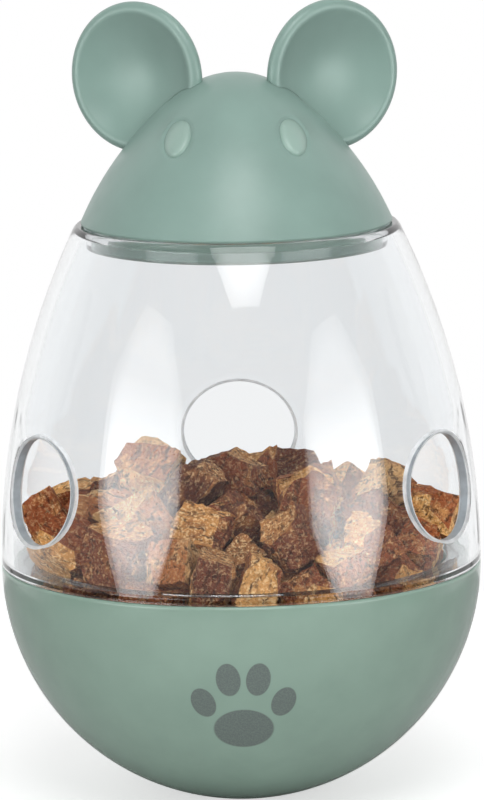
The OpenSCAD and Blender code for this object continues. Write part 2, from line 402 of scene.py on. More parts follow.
class NodeDesk:
    """Lays out and links the nodes of one material around a Principled shader."""

    def __init__(self, name: str) -> None:
        """Starts a material with its shader, its output and the Object coordinates.

        Args:
            name: The material's name.
        """
        self.material = bpy.data.materials.new(name)
        self.material.use_nodes = True
        self.tree = self.material.node_tree
        self.tree.nodes.clear()
        self.output = self.add("ShaderNodeOutputMaterial")
        self.shader = self.add("ShaderNodeBsdfPrincipled")
        self.link(self.shader.outputs["BSDF"], self.output.inputs["Surface"])
        self.place = self.add("ShaderNodeTexCoord").outputs["Object"]

    def add(self, kind: str, sockets: dict[str, Any] | None = None, **settings: Any) -> bpy.types.Node:
        """Adds a node.

        Args:
            kind: The node's type.
            sockets: Values for its input sockets, by name or index.
            settings: Values for its own properties.

        Returns:
            The node.
        """
        node = self.tree.nodes.new(kind)
        for key, value in settings.items():
            setattr(node, key, value)
        for key, value in (sockets or {}).items():
            node.inputs[key].default_value = value
        return node

    def link(self, source: bpy.types.NodeSocket, target: bpy.types.NodeSocket) -> None:
        """Joins two sockets."""
        self.tree.links.new(source, target)

    def feed(self, target: bpy.types.NodeSocket, value: Any) -> None:
        """Links or sets one input socket.

        Args:
            target: The input socket.
            value: An output socket, a number or a colour.
        """
        if isinstance(value, bpy.types.NodeSocket):
            self.link(value, target)
        elif isinstance(value, tuple):
            target.default_value = (*value, 1.0)
        else:
            target.default_value = value

    def noise(self, size: float, detail: float = 2.0, where: bpy.types.NodeSocket | None = None,
              distortion: float = 0.0) -> bpy.types.NodeSocket:
        """Adds a cloudy pattern.

        Args:
            size: Size of its clouds in metres.
            detail: Number of finer layers.
            where: The coordinates it reads, or the Object coordinates.
            distortion: How far it is stirred.

        Returns:
            Its value, from 0 to 1.
        """
        node = self.add("ShaderNodeTexNoise",
                        {"Scale": 1 / size, "Detail": detail, "Distortion": distortion})
        self.link(where or self.place, node.inputs["Vector"])
        return node.outputs[0]

    def span(self, value: bpy.types.NodeSocket, low: float, high: float, start: float = 0.3,
             end: float = 0.7) -> bpy.types.NodeSocket:
        """Maps a value to another range.

        Args:
            value: The value to map.
            low: What start becomes.
            high: What end becomes.
            start: Lower end of the value's range.
            end: Upper end of the value's range.

        Returns:
            The mapped value.
        """
        node = self.add("ShaderNodeMapRange",
                        {"From Min": start, "From Max": end, "To Min": low, "To Max": high})
        self.link(value, node.inputs["Value"])
        return node.outputs["Result"]

    def ramp(self, value: bpy.types.NodeSocket,
             stops: list[tuple[float, Colour]]) -> bpy.types.NodeSocket:
        """Turns a value into a colour.

        Args:
            value: The value to read.
            stops: Where each colour stands, from 0 to 1.

        Returns:
            The colour.
        """
        node = self.add("ShaderNodeValToRGB")
        elements = node.color_ramp.elements
        while len(elements) < len(stops):
            elements.new(0.5)
        for element, (position, colour) in zip(elements, stops):
            element.position = position
            element.color = (*colour, 1.0)
        self.link(value, node.inputs["Fac"])
        return node.outputs["Color"]

    def math(self, operation: str, *values: Any) -> bpy.types.NodeSocket:
        """Adds a sum of one to three values.

        Args:
            operation: The Math node's operation.
            values: Sockets or numbers.

        Returns:
            The result.
        """
        node = self.add("ShaderNodeMath", operation=operation)
        for socket, value in zip(node.inputs, values):
            self.feed(socket, value)
        return node.outputs[0]

    def blend(self, share: bpy.types.NodeSocket, first: Any, second: Any) -> bpy.types.NodeSocket:
        """Mixes two colours.

        Args:
            share: How much of the second colour shows.
            first: A colour socket or a colour.
            second: A colour socket or a colour.

        Returns:
            The mixed colour.
        """
        node = self.add("ShaderNodeMix", data_type="RGBA")
        self.link(share, node.inputs[0])
        for socket, value in zip(node.inputs[6:8], (first, second)):
            self.feed(socket, value)
        return node.outputs[2]

    def bump(self, height: bpy.types.NodeSocket, distance: float,
             under: bpy.types.NodeSocket | None = None) -> bpy.types.NodeSocket:
        """Turns a height into a bumped normal.

        Args:
            height: The height, from 0 to 1.
            distance: Height of a full bump in metres.
            under: The normal of a coarser bump below it.

        Returns:
            The normal.
        """
        node = self.add("ShaderNodeBump", {"Strength": 1.0, "Distance": distance})
        self.link(height, node.inputs["Height"])
        if under is not None:
            self.link(under, node.inputs["Normal"])
        return node.outputs["Normal"]

    def plug(self, socket: str, value: Any) -> None:
        """Sets or links one socket of the shader.

        Args:
            socket: The socket's name.
            value: A socket, a number or a colour.
        """
        self.feed(self.shader.inputs[socket], value)


@dataclass(frozen=True)
class MouldedPlastic:
    """Coloured moulded plastic: a faint cloud in the pigment and a fine grain in the skin."""

    name: str
    colour: Colour
    roughness: float
    grain: float
    grain_height: float
    cloud: float = 0.05
    cloud_size: float = 9 * MM
    wear: tuple[float, float] = (0.9, 1.12)
    wear_size: float = 3 * MM
    index: float = 1.5
    subsurface: float = 0.0
    scatter: Colour = (1.0, 1.2, 1.1)

    def tint(self, factor: float) -> Colour:
        """The colour made lighter or darker by a factor."""
        return tuple(min(1.0, part * factor) for part in self.colour)

    def coat(self, desk: NodeDesk) -> bpy.types.NodeSocket:
        """Lays the pigment and the skin on a desk's shader.

        Args:
            desk: The material's desk.

        Returns:
            The pigment's colour.
        """
        pigment = desk.ramp(desk.noise(self.cloud_size, 4.0),
                            [(0.3, self.tint(1 - self.cloud)), (0.7, self.tint(1 + self.cloud))])
        desk.plug("Base Color", pigment)
        least, most = (self.roughness * share for share in self.wear)
        desk.plug("Roughness", desk.span(desk.noise(self.wear_size, 5.0), least, most))
        desk.plug("Normal", desk.bump(desk.noise(self.grain, 3.0), self.grain_height))
        desk.plug("IOR", self.index)
        if self.subsurface:
            desk.plug("Subsurface Weight", self.subsurface)
            desk.plug("Subsurface Scale", MM)
            desk.shader.inputs["Subsurface Radius"].default_value = self.scatter
        return pigment

    def material(self) -> bpy.types.Material:
        """Makes the material.

        Returns:
            The finish as a material.
        """
        desk = NodeDesk(self.name)
        self.coat(desk)
        return desk.material


@dataclass(frozen=True)
class PrintedPlastic(MouldedPlastic):
    """Moulded plastic with a plain paw printed on its front in grey ink."""

    ink: Colour = (0.140, 0.170, 0.160)
    print_z: float = 21.0 * MM
    print_size: float = 18 * MM
    speckle_size: float = 0.25 * MM
    palest: float = 0.82

    def pads(self) -> list[tuple[float, float, float, float, float]]:
        """Lays out the paw's pads, in shares of its size.

        Returns:
            Each pad's place across and up, half its width and height, and its lean in degrees.
        """
        toes = [(-0.36, 0.10, 0.105, 0.150, 24), (-0.135, 0.33, 0.110, 0.160, 8)]
        mirrored = [(-x, z, w, h, -lean) for x, z, w, h, lean in toes]
        return [(0.0, -0.17, 0.27, 0.20, 0), *toes, *mirrored]

    def material(self) -> bpy.types.Material:
        """Makes the material.

        Returns:
            The plastic with its print.
        """
        desk = NodeDesk(self.name)
        pigment = self.coat(desk)
        split = desk.add("ShaderNodeSeparateXYZ")
        desk.link(desk.place, split.inputs[0])
        up = desk.math("SUBTRACT", split.outputs["Z"], self.print_z)
        nearest = None
        for x, z, width, height, lean in self.pads():
            u = desk.math("SUBTRACT", split.outputs["X"], x * self.print_size)
            v = desk.math("SUBTRACT", up, z * self.print_size)
            c, s = math.cos(math.radians(lean)), math.sin(math.radians(lean))
            along = desk.math("ADD", desk.math("MULTIPLY", u, c), desk.math("MULTIPLY", v, s))
            aside = desk.math("SUBTRACT", desk.math("MULTIPLY", v, c), desk.math("MULTIPLY", u, s))
            share_u = desk.math("DIVIDE", along, width * self.print_size)
            share_v = desk.math("DIVIDE", aside, height * self.print_size)
            square = desk.math("ADD", desk.math("MULTIPLY", share_u, share_u),
                               desk.math("MULTIPLY", share_v, share_v))
            reach = desk.math("SQRT", square)
            nearest = reach if nearest is None else desk.math("MINIMUM", nearest, reach)
        inked = desk.span(nearest, 1.0, 0.0, 0.97, 1.03)
        front = desk.math("LESS_THAN", split.outputs["Y"], 0.0)
        speckle = desk.span(desk.noise(self.speckle_size, 2.0), self.palest, 1.0, 0.35, 0.6)
        share = desk.math("MULTIPLY", desk.math("MULTIPLY", inked, front), speckle)
        desk.plug("Base Color", desk.blend(share, pigment, self.ink))
        return desk.material


@dataclass(frozen=True)
class ClearPlastic:
    """Clear moulded plastic with the faint swirl of the melt in its skin."""

    name: str
    colour: Colour
    index: float
    roughness: float
    cloud_size: float = 30 * MM
    dimmest: float = 0.995
    swirl_size: float = 14 * MM
    swirl_height: float = 0.015 * MM

    def material(self) -> bpy.types.Material:
        """Makes the material.

        Returns:
            The finish as a material.
        """
        desk = NodeDesk(self.name)
        dim = tuple(part * self.dimmest for part in self.colour)
        cloud = desk.noise(self.cloud_size, 2.0)
        desk.plug("Base Color", desk.ramp(cloud, [(0.3, dim), (0.7, self.colour)]))
        desk.plug("Transmission Weight", 1.0)
        desk.plug("IOR", self.index)
        desk.plug("Roughness", self.roughness)
        swirl = desk.noise(self.swirl_size, 1.0, distortion=0.6)
        desk.plug("Normal", desk.bump(swirl, self.swirl_height))
        return desk.material


@dataclass(frozen=True)
class FrostedEdge:
    """The edge of a hole in clear plastic, less clear than the polished skin, with a colour that paints
    the light on it: a painted highlight on the lip, painted shade in the wall.
    """

    name: str
    colour: Colour
    clearness: float
    roughness: float
    index: float = 1.52
    dimmest: float = 0.8
    streak_size: float = 1.5 * MM
    grain: float = 0.5 * MM
    grain_height: float = 0.01 * MM

    def material(self) -> bpy.types.Material:
        """Makes the material.

        Returns:
            The finish as a material.
        """
        desk = NodeDesk(self.name)
        streak = desk.noise(self.streak_size, 3.0)
        dim = tuple(part * self.dimmest for part in self.colour)
        desk.plug("Base Color", desk.ramp(streak, [(0.35, dim), (0.65, self.colour)]))
        desk.plug("Transmission Weight", self.clearness)
        desk.plug("IOR", self.index)
        desk.plug("Roughness", self.roughness)
        desk.plug("Normal", desk.bump(desk.noise(self.grain, 2.0), self.grain_height))
        return desk.material


@dataclass(frozen=True)
class BareMetal:
    """A cast or plated metal part that the casing hides."""

    name: str
    colour: Colour
    metallic: float
    roughness: float
    grain: float
    grain_height: float
    stain_size: float = 4 * MM
    darkest: float = 0.75

    def material(self) -> bpy.types.Material:
        """Makes the material.

        Returns:
            The finish as a material.
        """
        desk = NodeDesk(self.name)
        stain = desk.noise(self.stain_size, 5.0)
        dark = tuple(part * self.darkest for part in self.colour)
        desk.plug("Base Color", desk.ramp(stain, [(0.3, dark), (0.7, self.colour)]))
        desk.plug("Metallic", self.metallic)
        desk.plug("Roughness", desk.span(stain, self.roughness * 0.8, self.roughness * 1.2))
        desk.plug("Normal", desk.bump(desk.noise(self.grain, 4.0), self.grain_height))
        return desk.material


@dataclass(frozen=True)
class DriedMeat:
    """Dried meat: dark skin on some faces, pale crumbs on the broken ones, one tone for each chunk, with
    painted shade in the bump's hollows and painted highlights among the crumbs on its tops.
    """

    name: str = "dried_meat"
    skins: tuple[Colour, ...] = (
        (0.130, 0.038, 0.021),
        (0.260, 0.066, 0.024),
        (0.380, 0.105, 0.034),
        (0.470, 0.165, 0.052),
    )
    broken: tuple[Colour, ...] = (
        (0.440, 0.180, 0.062),
        (0.700, 0.320, 0.095),
        (0.800, 0.420, 0.140),
        (0.680, 0.390, 0.165),
    )
    # Partly real pale crumbs, partly a painted highlight on the tops of the bumped skin.
    crumb_and_painted_highlight: Colour = (0.980, 0.670, 0.350)
    # Painted shade: a near-black brown for the hollows of the bumped skin.
    painted_hollow_shade: Colour = (0.050, 0.016, 0.009)
    fibre_size: float = 0.9 * MM
    fibre_height: float = 0.9 * MM
    fibre_run: tuple[float, float, float] = (0.35, 1.0, 1.0)
    lump_size: float = 3.6 * MM
    fine_size: float = 0.5 * MM
    fine_height: float = 0.45 * MM
    roughness: tuple[float, float] = (0.45, 0.8)
    shine: float = 0.2

    def material(self) -> bpy.types.Material:
        """Makes the material.

        Returns:
            A material that reads the chunk's own grain, tone and break attributes.
        """
        desk = NodeDesk(self.name)
        grain = desk.add("ShaderNodeAttribute", attribute_name="grain").outputs["Vector"]
        tone = desk.add("ShaderNodeAttribute", attribute_name="tone").outputs["Fac"]
        bared = desk.add("ShaderNodeAttribute", attribute_name="break").outputs["Fac"]
        strand = desk.add("ShaderNodeMapping")
        strand.inputs["Scale"].default_value = self.fibre_run
        desk.link(grain, strand.inputs["Vector"])
        fibre = desk.noise(self.fibre_size, 6.0, strand.outputs["Vector"], 0.8)
        lump = desk.noise(self.lump_size, 4.0, grain, 0.5)
        fine = desk.noise(self.fine_size, 4.0, grain, 0.6)
        last = len(self.skins) - 1
        skin = desk.ramp(tone, [(i / last, colour) for i, colour in enumerate(self.skins)])
        inside = desk.ramp(tone, [(i / last, colour) for i, colour in enumerate(self.broken)])
        patch = desk.span(lump, -0.35, 0.35, 0.35, 0.65)
        share = desk.math("ADD", desk.math("MULTIPLY", bared, 0.7), patch)
        body = desk.blend(desk.span(share, 0.0, 1.0, 0.05, 0.6), skin, inside)
        # Painted shade: darkens the troughs of the fibre pattern, where the bump sinks.
        body = desk.blend(desk.span(fibre, 0.8, 0.0, 0.36, 0.50), body, self.painted_hollow_shade)
        # Pale specks where the fine pattern peaks, more on broken faces: partly real crumbs, partly
        # painted highlights on the bump's tops.
        crumbs_and_painted_highlights = desk.math("MULTIPLY", desk.span(fine, 0.0, 0.9, 0.52, 0.64),
                           desk.span(share, 0.3, 1.0, 0.0, 0.6))
        body = desk.blend(crumbs_and_painted_highlights, body, self.crumb_and_painted_highlight)
        # Painted shade: darkens the troughs of the fine pattern, where the bump sinks.
        body = desk.blend(desk.span(fine, 0.4, 0.0, 0.32, 0.44), body, self.painted_hollow_shade)
        desk.plug("Base Color", body)
        desk.plug("Roughness", desk.span(fine, *self.roughness))
        desk.plug("Specular IOR Level", self.shine)
        under = desk.bump(fibre, self.fibre_height)
        desk.plug("Normal", desk.bump(fine, self.fine_height, under))
        return desk.material


@dataclass(frozen=True)
class Finishes:
    """All the toy's finishes, by the record's slots, and the treats'."""

    bowl: PrintedPlastic = PrintedPlastic(
        "bowl_plastic", (0.282, 0.404, 0.335), roughness=0.13, grain=0.6 * MM, grain_height=0.004 * MM)
    head: MouldedPlastic = MouldedPlastic(
        "head_plastic", (0.262, 0.388, 0.344), roughness=0.36, grain=0.3 * MM, grain_height=0.010 * MM,
        subsurface=0.08)
    eye: MouldedPlastic = MouldedPlastic(
        "eye_plastic", (0.345, 0.490, 0.430), roughness=0.34, grain=0.3 * MM, grain_height=0.008 * MM)
    # Painted shade: the plug is the head's green, darkened to paint the shade under the head and inside
    # the dome's neck.
    plug: MouldedPlastic = MouldedPlastic(
        "plug_plastic", (0.165, 0.245, 0.205), roughness=0.42, grain=0.3 * MM, grain_height=0.010 * MM)
    floor: MouldedPlastic = MouldedPlastic(
        "floor_plastic", (0.260, 0.370, 0.310), roughness=0.42, grain=0.4 * MM, grain_height=0.012 * MM)
    clear: ClearPlastic = ClearPlastic(
        "clear_plastic", (0.930, 0.945, 0.955), index=1.52, roughness=0.0)
    # Painted highlight: the lip's near-white, less clear finish paints the bright line that light draws
    # round each hole.
    edge: FrostedEdge = FrostedEdge(
        "clear_plastic_edge", (0.95, 0.97, 0.985), clearness=0.30, roughness=0.3)
    # Painted shade: the wall's blue-grey stands in for the shade seen inside each hole's clear wall.
    wall: FrostedEdge = FrostedEdge(
        "clear_plastic_wall", (0.44, 0.49, 0.53), clearness=0.30, roughness=0.3)
    weight: BareMetal = BareMetal(
        "weight_iron", (0.12, 0.12, 0.13), metallic=0.6, roughness=0.65, grain=0.8 * MM,
        grain_height=0.08 * MM)
    screws: BareMetal = BareMetal(
        "screw_steel", (0.60, 0.60, 0.62), metallic=1.0, roughness=0.32, grain=0.3 * MM,
        grain_height=0.01 * MM)
    treats: DriedMeat = DriedMeat()


def dress(piece: bpy.types.Object, material: bpy.types.Material) -> None:
    """Gives a piece one material all over.

    Args:
        piece: The piece or CAD node.
        material: The finish.
    """
    piece.data.materials.clear()
    piece.data.materials.append(material)


def hand_over(piece: bpy.types.Object, body: str, slot: str, *nodes: str) -> None:
    """Puts a finished piece on its body in place of its CAD nodes, and reports it.

    Args:
        piece: The finished piece.
        body: The CAD body that it rides on.
        slot: The record's material slot; not used.
        nodes: The CAD nodes that it stands for.
    """
    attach(piece, body)
    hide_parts(*nodes)
    log.info("%s: %d faces, rides on %s", piece.name, len(piece.data.polygons), body)


def complete(piece: bpy.types.Object, finish: MouldedPlastic, body: str, slot: str, node: str) -> None:
    """Smooths a modelled piece, dresses it in one plastic and hands it over.

    Args:
        piece: The modelled piece.
        finish: Its plastic.
        body: The CAD body that it rides on.
        slot: The record's material slot.
        node: The CAD node that it stands for.
    """
    smooth(piece)
    dress(piece, finish.material())
    hand_over(piece, body, slot, node)


# Sub-assemblies


@dataclass
class Bowl:
    """The weighted bowl: a sphere's lower half with a flat foot and a mouth for the dome's bayonet."""

    radius: float
    rim_z: float
    floor_z: float
    wall: float = 2.2 * MM
    foot_r: float = 8 * MM
    mouth_wall: float = 2.4 * MM
    mouth_depth: float = 5.6 * MM
    rim_round: float = 0.45 * MM
    lug_reach: float = 1.0 * MM
    lug_root: float = 0.4 * MM
    lug_h: float = 1.8 * MM
    lug_drop: float = 1.0 * MM
    lug_span: float = 39.6
    lug_start: float = 38.4
    lug_count: int = 3
    segments: int = 256

    @classmethod
    def from_frame(cls) -> Bowl:
        """Reads the bowl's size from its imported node."""
        _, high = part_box("bowl")
        return cls(radius=high.x, rim_z=high.z, floor_z=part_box("treat_floor")[1].z)

    @property
    def inner_r(self) -> float:
        """Radius of the inner sphere."""
        return self.radius - self.wall

    @property
    def mouth_r(self) -> float:
        """Radius of the mouth that takes the dome's spigot."""
        return self.radius - self.mouth_wall

    def inside(self, height: float) -> float:
        """Radius of the inner sphere at a height."""
        return math.sqrt(self.inner_r ** 2 - (self.rim_z - height) ** 2)

    def outline(self) -> Outline:
        """Goes from the foot's middle up the outside, over the rim and down the inside.

        Returns:
            The lathe's outline.
        """
        centre = (0.0, self.rim_z)
        lip = self.rim_round
        foot_angle = -math.degrees(math.acos(self.foot_r / self.radius))
        rim_angle = -math.degrees(math.asin(lip / self.radius))
        mouth_z = self.rim_z - self.mouth_depth
        low_angle = -math.degrees(math.asin(self.mouth_depth / self.inner_r))
        lead = lip / 2
        return [
            (0.0, 0.0),
            (self.foot_r * 0.5, 0.0),
            *arc(centre, self.radius, foot_angle, rim_angle, 64),
            *arc((self.radius - lip, self.rim_z - lip), lip, 15, 90, 5),
            *arc((self.mouth_r + lead, self.rim_z - lead), lead, 90, 180, 4),
            (self.mouth_r, mouth_z),
            *arc(centre, self.inner_r, low_angle, -90, 48),
        ]

    def build(self, finish: PrintedPlastic) -> None:
        """Models and dresses the bowl.

        Args:
            finish: The bowl's plastic.
        """
        piece = lathe("round_bowl", self.outline(), self.segments)
        radii = (self.mouth_r - self.lug_reach, self.mouth_r + self.lug_root)
        top = self.rim_z - self.lug_drop
        heights = (top - self.lug_h, top)
        for i in range(self.lug_count):
            start = self.lug_start + i * 360 / self.lug_count
            combine(piece, ring_sector("lug", radii, heights, start, self.lug_span), Weld.JOIN)
        complete(piece, finish, "bowl", "bowl_plastic", "bowl")


@dataclass
class Dome:
    """The clear dome: an ogive shell with a bayonet spigot, a filling neck and oval treat holes."""

    radius: float
    base_z: float
    top_z: float
    low_z: float
    wall: float = 2.0 * MM
    shoulder_gap: float = 0.06 * MM
    ledge_h: float = 1.3 * MM
    spigot_r: float = 36.4 * MM
    neck_r: float = 24.0 * MM
    rim_w: float = 2.8 * MM
    rim_t: float = 1.8 * MM
    neck_wall: float = 1.1 * MM
    neck_depth: float = 3.8 * MM
    collar_taper: float = 0.3 * MM
    edge: float = 0.45 * MM
    hole_r: float = 9.75 * MM
    hole_rise: float = 8.65 * MM
    hole_h: float = 15.4 * MM
    hole_edge: float = 0.55 * MM
    hole_angles: tuple[float, ...] = (90.0, 210.0, 330.0)
    lip_steps: int = 4
    lip_share: float = 1.02
    wall_share: float = 0.12
    frame_share: float = 2.6
    block: float = 11.0 * MM
    block_columns: int = 11
    block_rows: int = 18
    upper_rows: int = 18
    lug_start: float = 42.0
    lug_span: float = 36.0
    lug_root: float = 0.4 * MM
    lug_lift: float = 0.4 * MM
    segments: int = 192

    @classmethod
    def from_frame(cls, bowl: Bowl) -> Dome:
        """Reads the dome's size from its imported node.

        Args:
            bowl: The bowl that it stands on.

        Returns:
            The dome's sizes.
        """
        low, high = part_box("dome")
        return cls(radius=high.x, base_z=bowl.rim_z, top_z=high.z, low_z=low.z)

    @property
    def height(self) -> float:
        """Height of the ogive from the bowl's rim to the top rim."""
        return self.top_z - self.base_z

    @property
    def top_r(self) -> float:
        """Radius of the top rim."""
        return self.neck_r + self.rim_w

    @property
    def arc_x(self) -> float:
        """Distance of the ogive's centre beyond the axis."""
        return (self.top_r ** 2 + self.height ** 2 - self.radius ** 2) / (2 * (self.radius - self.top_r))

    def skin(self, above: float, depth: float = 0.0) -> float:
        """Radius of the ogive.

        Args:
            above: Height above the bowl's rim.
            depth: Depth below the outer skin.

        Returns:
            The radius.
        """
        return math.sqrt((self.radius + self.arc_x - depth) ** 2 - above ** 2) - self.arc_x

    def rows(self, low: float, high: float) -> list[float]:
        """Heights of the lathe's rings above the rim, even where the treat holes are.

        Args:
            low: Height of the first ring.
            high: Height of the last ring.

        Returns:
            The heights, from low to high.
        """
        start, end = self.hole_h - self.block, self.hole_h + self.block
        even = [start + (end - start) * i / self.block_rows for i in range(self.block_rows + 1)]
        above = [end + (high - end) * i / self.upper_rows for i in range(1, self.upper_rows + 1)]
        return [low, (low + start) / 2, *even, *above]

    def outline(self) -> Outline:
        """Goes up the outside from the spigot, over the top rim and down the inside.

        Returns:
            The lathe's closed outline.
        """
        edge, small = self.edge, self.edge / 2
        base = self.base_z + self.shoulder_gap
        spigot_in = self.spigot_r - self.wall
        collar_r = self.neck_r + self.neck_wall
        collar_z = self.top_z - self.neck_depth
        roof = self.height - self.rim_t
        outer_rows = self.rows(edge + self.shoulder_gap, self.height - edge)
        outer = [(self.skin(h), self.base_z + h) for h in outer_rows]
        inner = [(self.skin(h, self.wall), self.base_z + h) for h in self.rows(self.ledge_h, roof)]
        return [
            (spigot_in, self.low_z + small),
            *arc((spigot_in + small, self.low_z + small), small, 225, 270, 2),
            *arc((self.spigot_r - small, self.low_z + small), small, 270, 360, 4),
            (self.spigot_r, base),
            *arc((self.radius - edge, base + edge), edge, 270, 345, 5),
            *outer,
            *arc((self.top_r - edge, self.top_z - edge), edge, 30, 90, 4),
            *arc((self.neck_r + small, self.top_z - small), small, 90, 180, 4),
            (self.neck_r, collar_z + small),
            *arc((self.neck_r + small, collar_z + small), small, 225, 270, 2),
            *arc((collar_r - self.collar_taper - small, collar_z + small), small, 270, 355, 4),
            (collar_r, self.base_z + roof),
            *reversed(inner),
            *arc((spigot_in + small, self.base_z + self.ledge_h - small), small, 90, 180, 4),
        ]

    def hole(self, angle: float) -> Window:
        """Lays out one treat hole.

        Args:
            angle: The hole's direction in degrees.

        Returns:
            The window to cut.
        """
        turn = math.radians(angle)
        out = Vector((math.cos(turn), math.sin(turn), 0.0))
        along = Vector((-math.sin(turn), math.cos(turn), 0.0))
        half_turn = (self.block_columns + 0.1) * 2 * math.pi / self.segments
        middle = self.base_z + self.hole_h

        def depth_of(point: Vector) -> float:
            """Depth of a point below the outer skin, measured across."""
            return self.skin(point.z - self.base_z) - math.hypot(point.x, point.y)

        def in_block(point: Vector) -> bool:
            """Tells whether a face gives way to the hole.

            Args:
                point: The face's centre.

            Returns:
                True if it does.
            """
            aside = abs(math.atan2(point.dot(along), point.dot(out)))
            near = aside < half_turn and abs(point.z - middle) < self.block
            return near and depth_of(point) < 1.5 * self.wall

        def turn_of(point: Vector) -> float:
            """A point's angle round the oval."""
            return math.atan2((point.z - middle) / self.hole_rise, point.dot(along) / self.hole_r)

        def on_skin(aside: float, up: float, depth: float) -> Vector:
            """Finds a point in the dome's wall.

            Args:
                aside: Its distance beside the hole's middle.
                up: Its height above the hole's middle.
                depth: Its depth in the wall.

            Returns:
                The point.
            """
            reach = self.skin(self.hole_h + up, depth)
            flat = along * aside + out * math.sqrt(reach ** 2 - aside ** 2)
            return Vector((flat.x, flat.y, middle + up))

        def on_ring(grow: float, depth: float) -> Loop:
            """Gives the hole's oval, grown by a width and seen along the hole, at a depth in the wall."""
            wide, tall = self.hole_r + grow, self.hole_rise + grow
            return lambda at: on_skin(wide * math.cos(at), tall * math.sin(at), depth)

        def halfway(grow: float, depth: float) -> Loop:
            """Lays out the loop halfway from the block's edge to the grown oval.

            Args:
                grow: How far the oval lies outside the hole's edge.
                depth: The loop's depth in the wall.

            Returns:
                The loop's point for each angle.
            """
            block_w = self.skin(self.hole_h) * math.sin(self.block_columns * 2 * math.pi / self.segments)

            def point(at: float) -> Vector:
                """Finds the loop's point.

                Args:
                    at: The angle round the hole.

                Returns:
                    The point.
                """
                aside, up = self.hole_r * math.cos(at), self.hole_rise * math.sin(at)
                stretch = 1 / max(abs(aside) / block_w, abs(up) / self.block)
                ease = (stretch + 1 + grow / self.hole_r) / 2
                return on_skin(aside * ease, up * ease, depth)

            return point

        curve = [math.radians(90 * i / self.lip_steps) for i in range(self.lip_steps + 1)]
        lip = [(self.hole_edge * (1 - math.sin(a)), self.hole_edge * (1 - math.cos(a))) for a in curve]
        frame = self.frame_share * self.hole_edge
        front = [(frame, 0.0), *lip]
        path = [*front, *[(grow, self.wall - depth) for grow, depth in reversed(front)]]
        return Window(
            in_block=in_block,
            on_front=lambda point: depth_of(point) < self.wall / 2,
            turn_of=turn_of,
            loops=[
                halfway(frame, 0.0),
                *[on_ring(grow, depth) for grow, depth in path],
                halfway(frame, self.wall),
            ],
        )

    def finish_at(self, point: Vector) -> DomeFinish:
        """Tells which finish a face has, by its centre.

        Args:
            point: The face's centre.

        Returns:
            The finish.
        """
        up = point.z - self.base_z - self.hole_h
        for angle in self.hole_angles:
            local = Matrix.Rotation(math.radians(-angle), 4, "Z") @ point
            for found, share in ((DomeFinish.WALL, self.wall_share), (DomeFinish.LIP, self.lip_share)):
                grow = share * self.hole_edge
                reach = math.hypot(local.y / (self.hole_r + grow), up / (self.hole_rise + grow))
                if local.x > 0 and reach < 1:
                    return found
        return DomeFinish.CLEAR

    def build(self, finishes: Finishes, bowl: Bowl) -> None:
        """Models and dresses the dome.

        Args:
            finishes: The toy's finishes.
            bowl: The bowl, whose bayonet the dome's lugs fit.
        """
        piece = lathe("clear_dome", self.outline(), self.segments, closed=True)
        for angle in self.hole_angles:
            self.hole(angle).cut(piece, through=True)
        low = self.low_z + self.lug_lift
        heights = (low, low + bowl.lug_h)
        radii = (self.spigot_r - self.lug_root, self.spigot_r + bowl.lug_reach)
        for i in range(bowl.lug_count):
            start = self.lug_start + i * 360 / bowl.lug_count
            combine(piece, ring_sector("lug", radii, heights, start, self.lug_span), Weld.JOIN)
        smooth(piece)
        dress(piece, finishes.clear.material())
        piece.data.materials.append(finishes.edge.material())
        piece.data.materials.append(finishes.wall.material())
        for face in piece.data.polygons:
            face.material_index = self.finish_at(face.center).value
        piece.visible_shadow = False
        hand_over(piece, "dome", "clear_plastic", "dome")


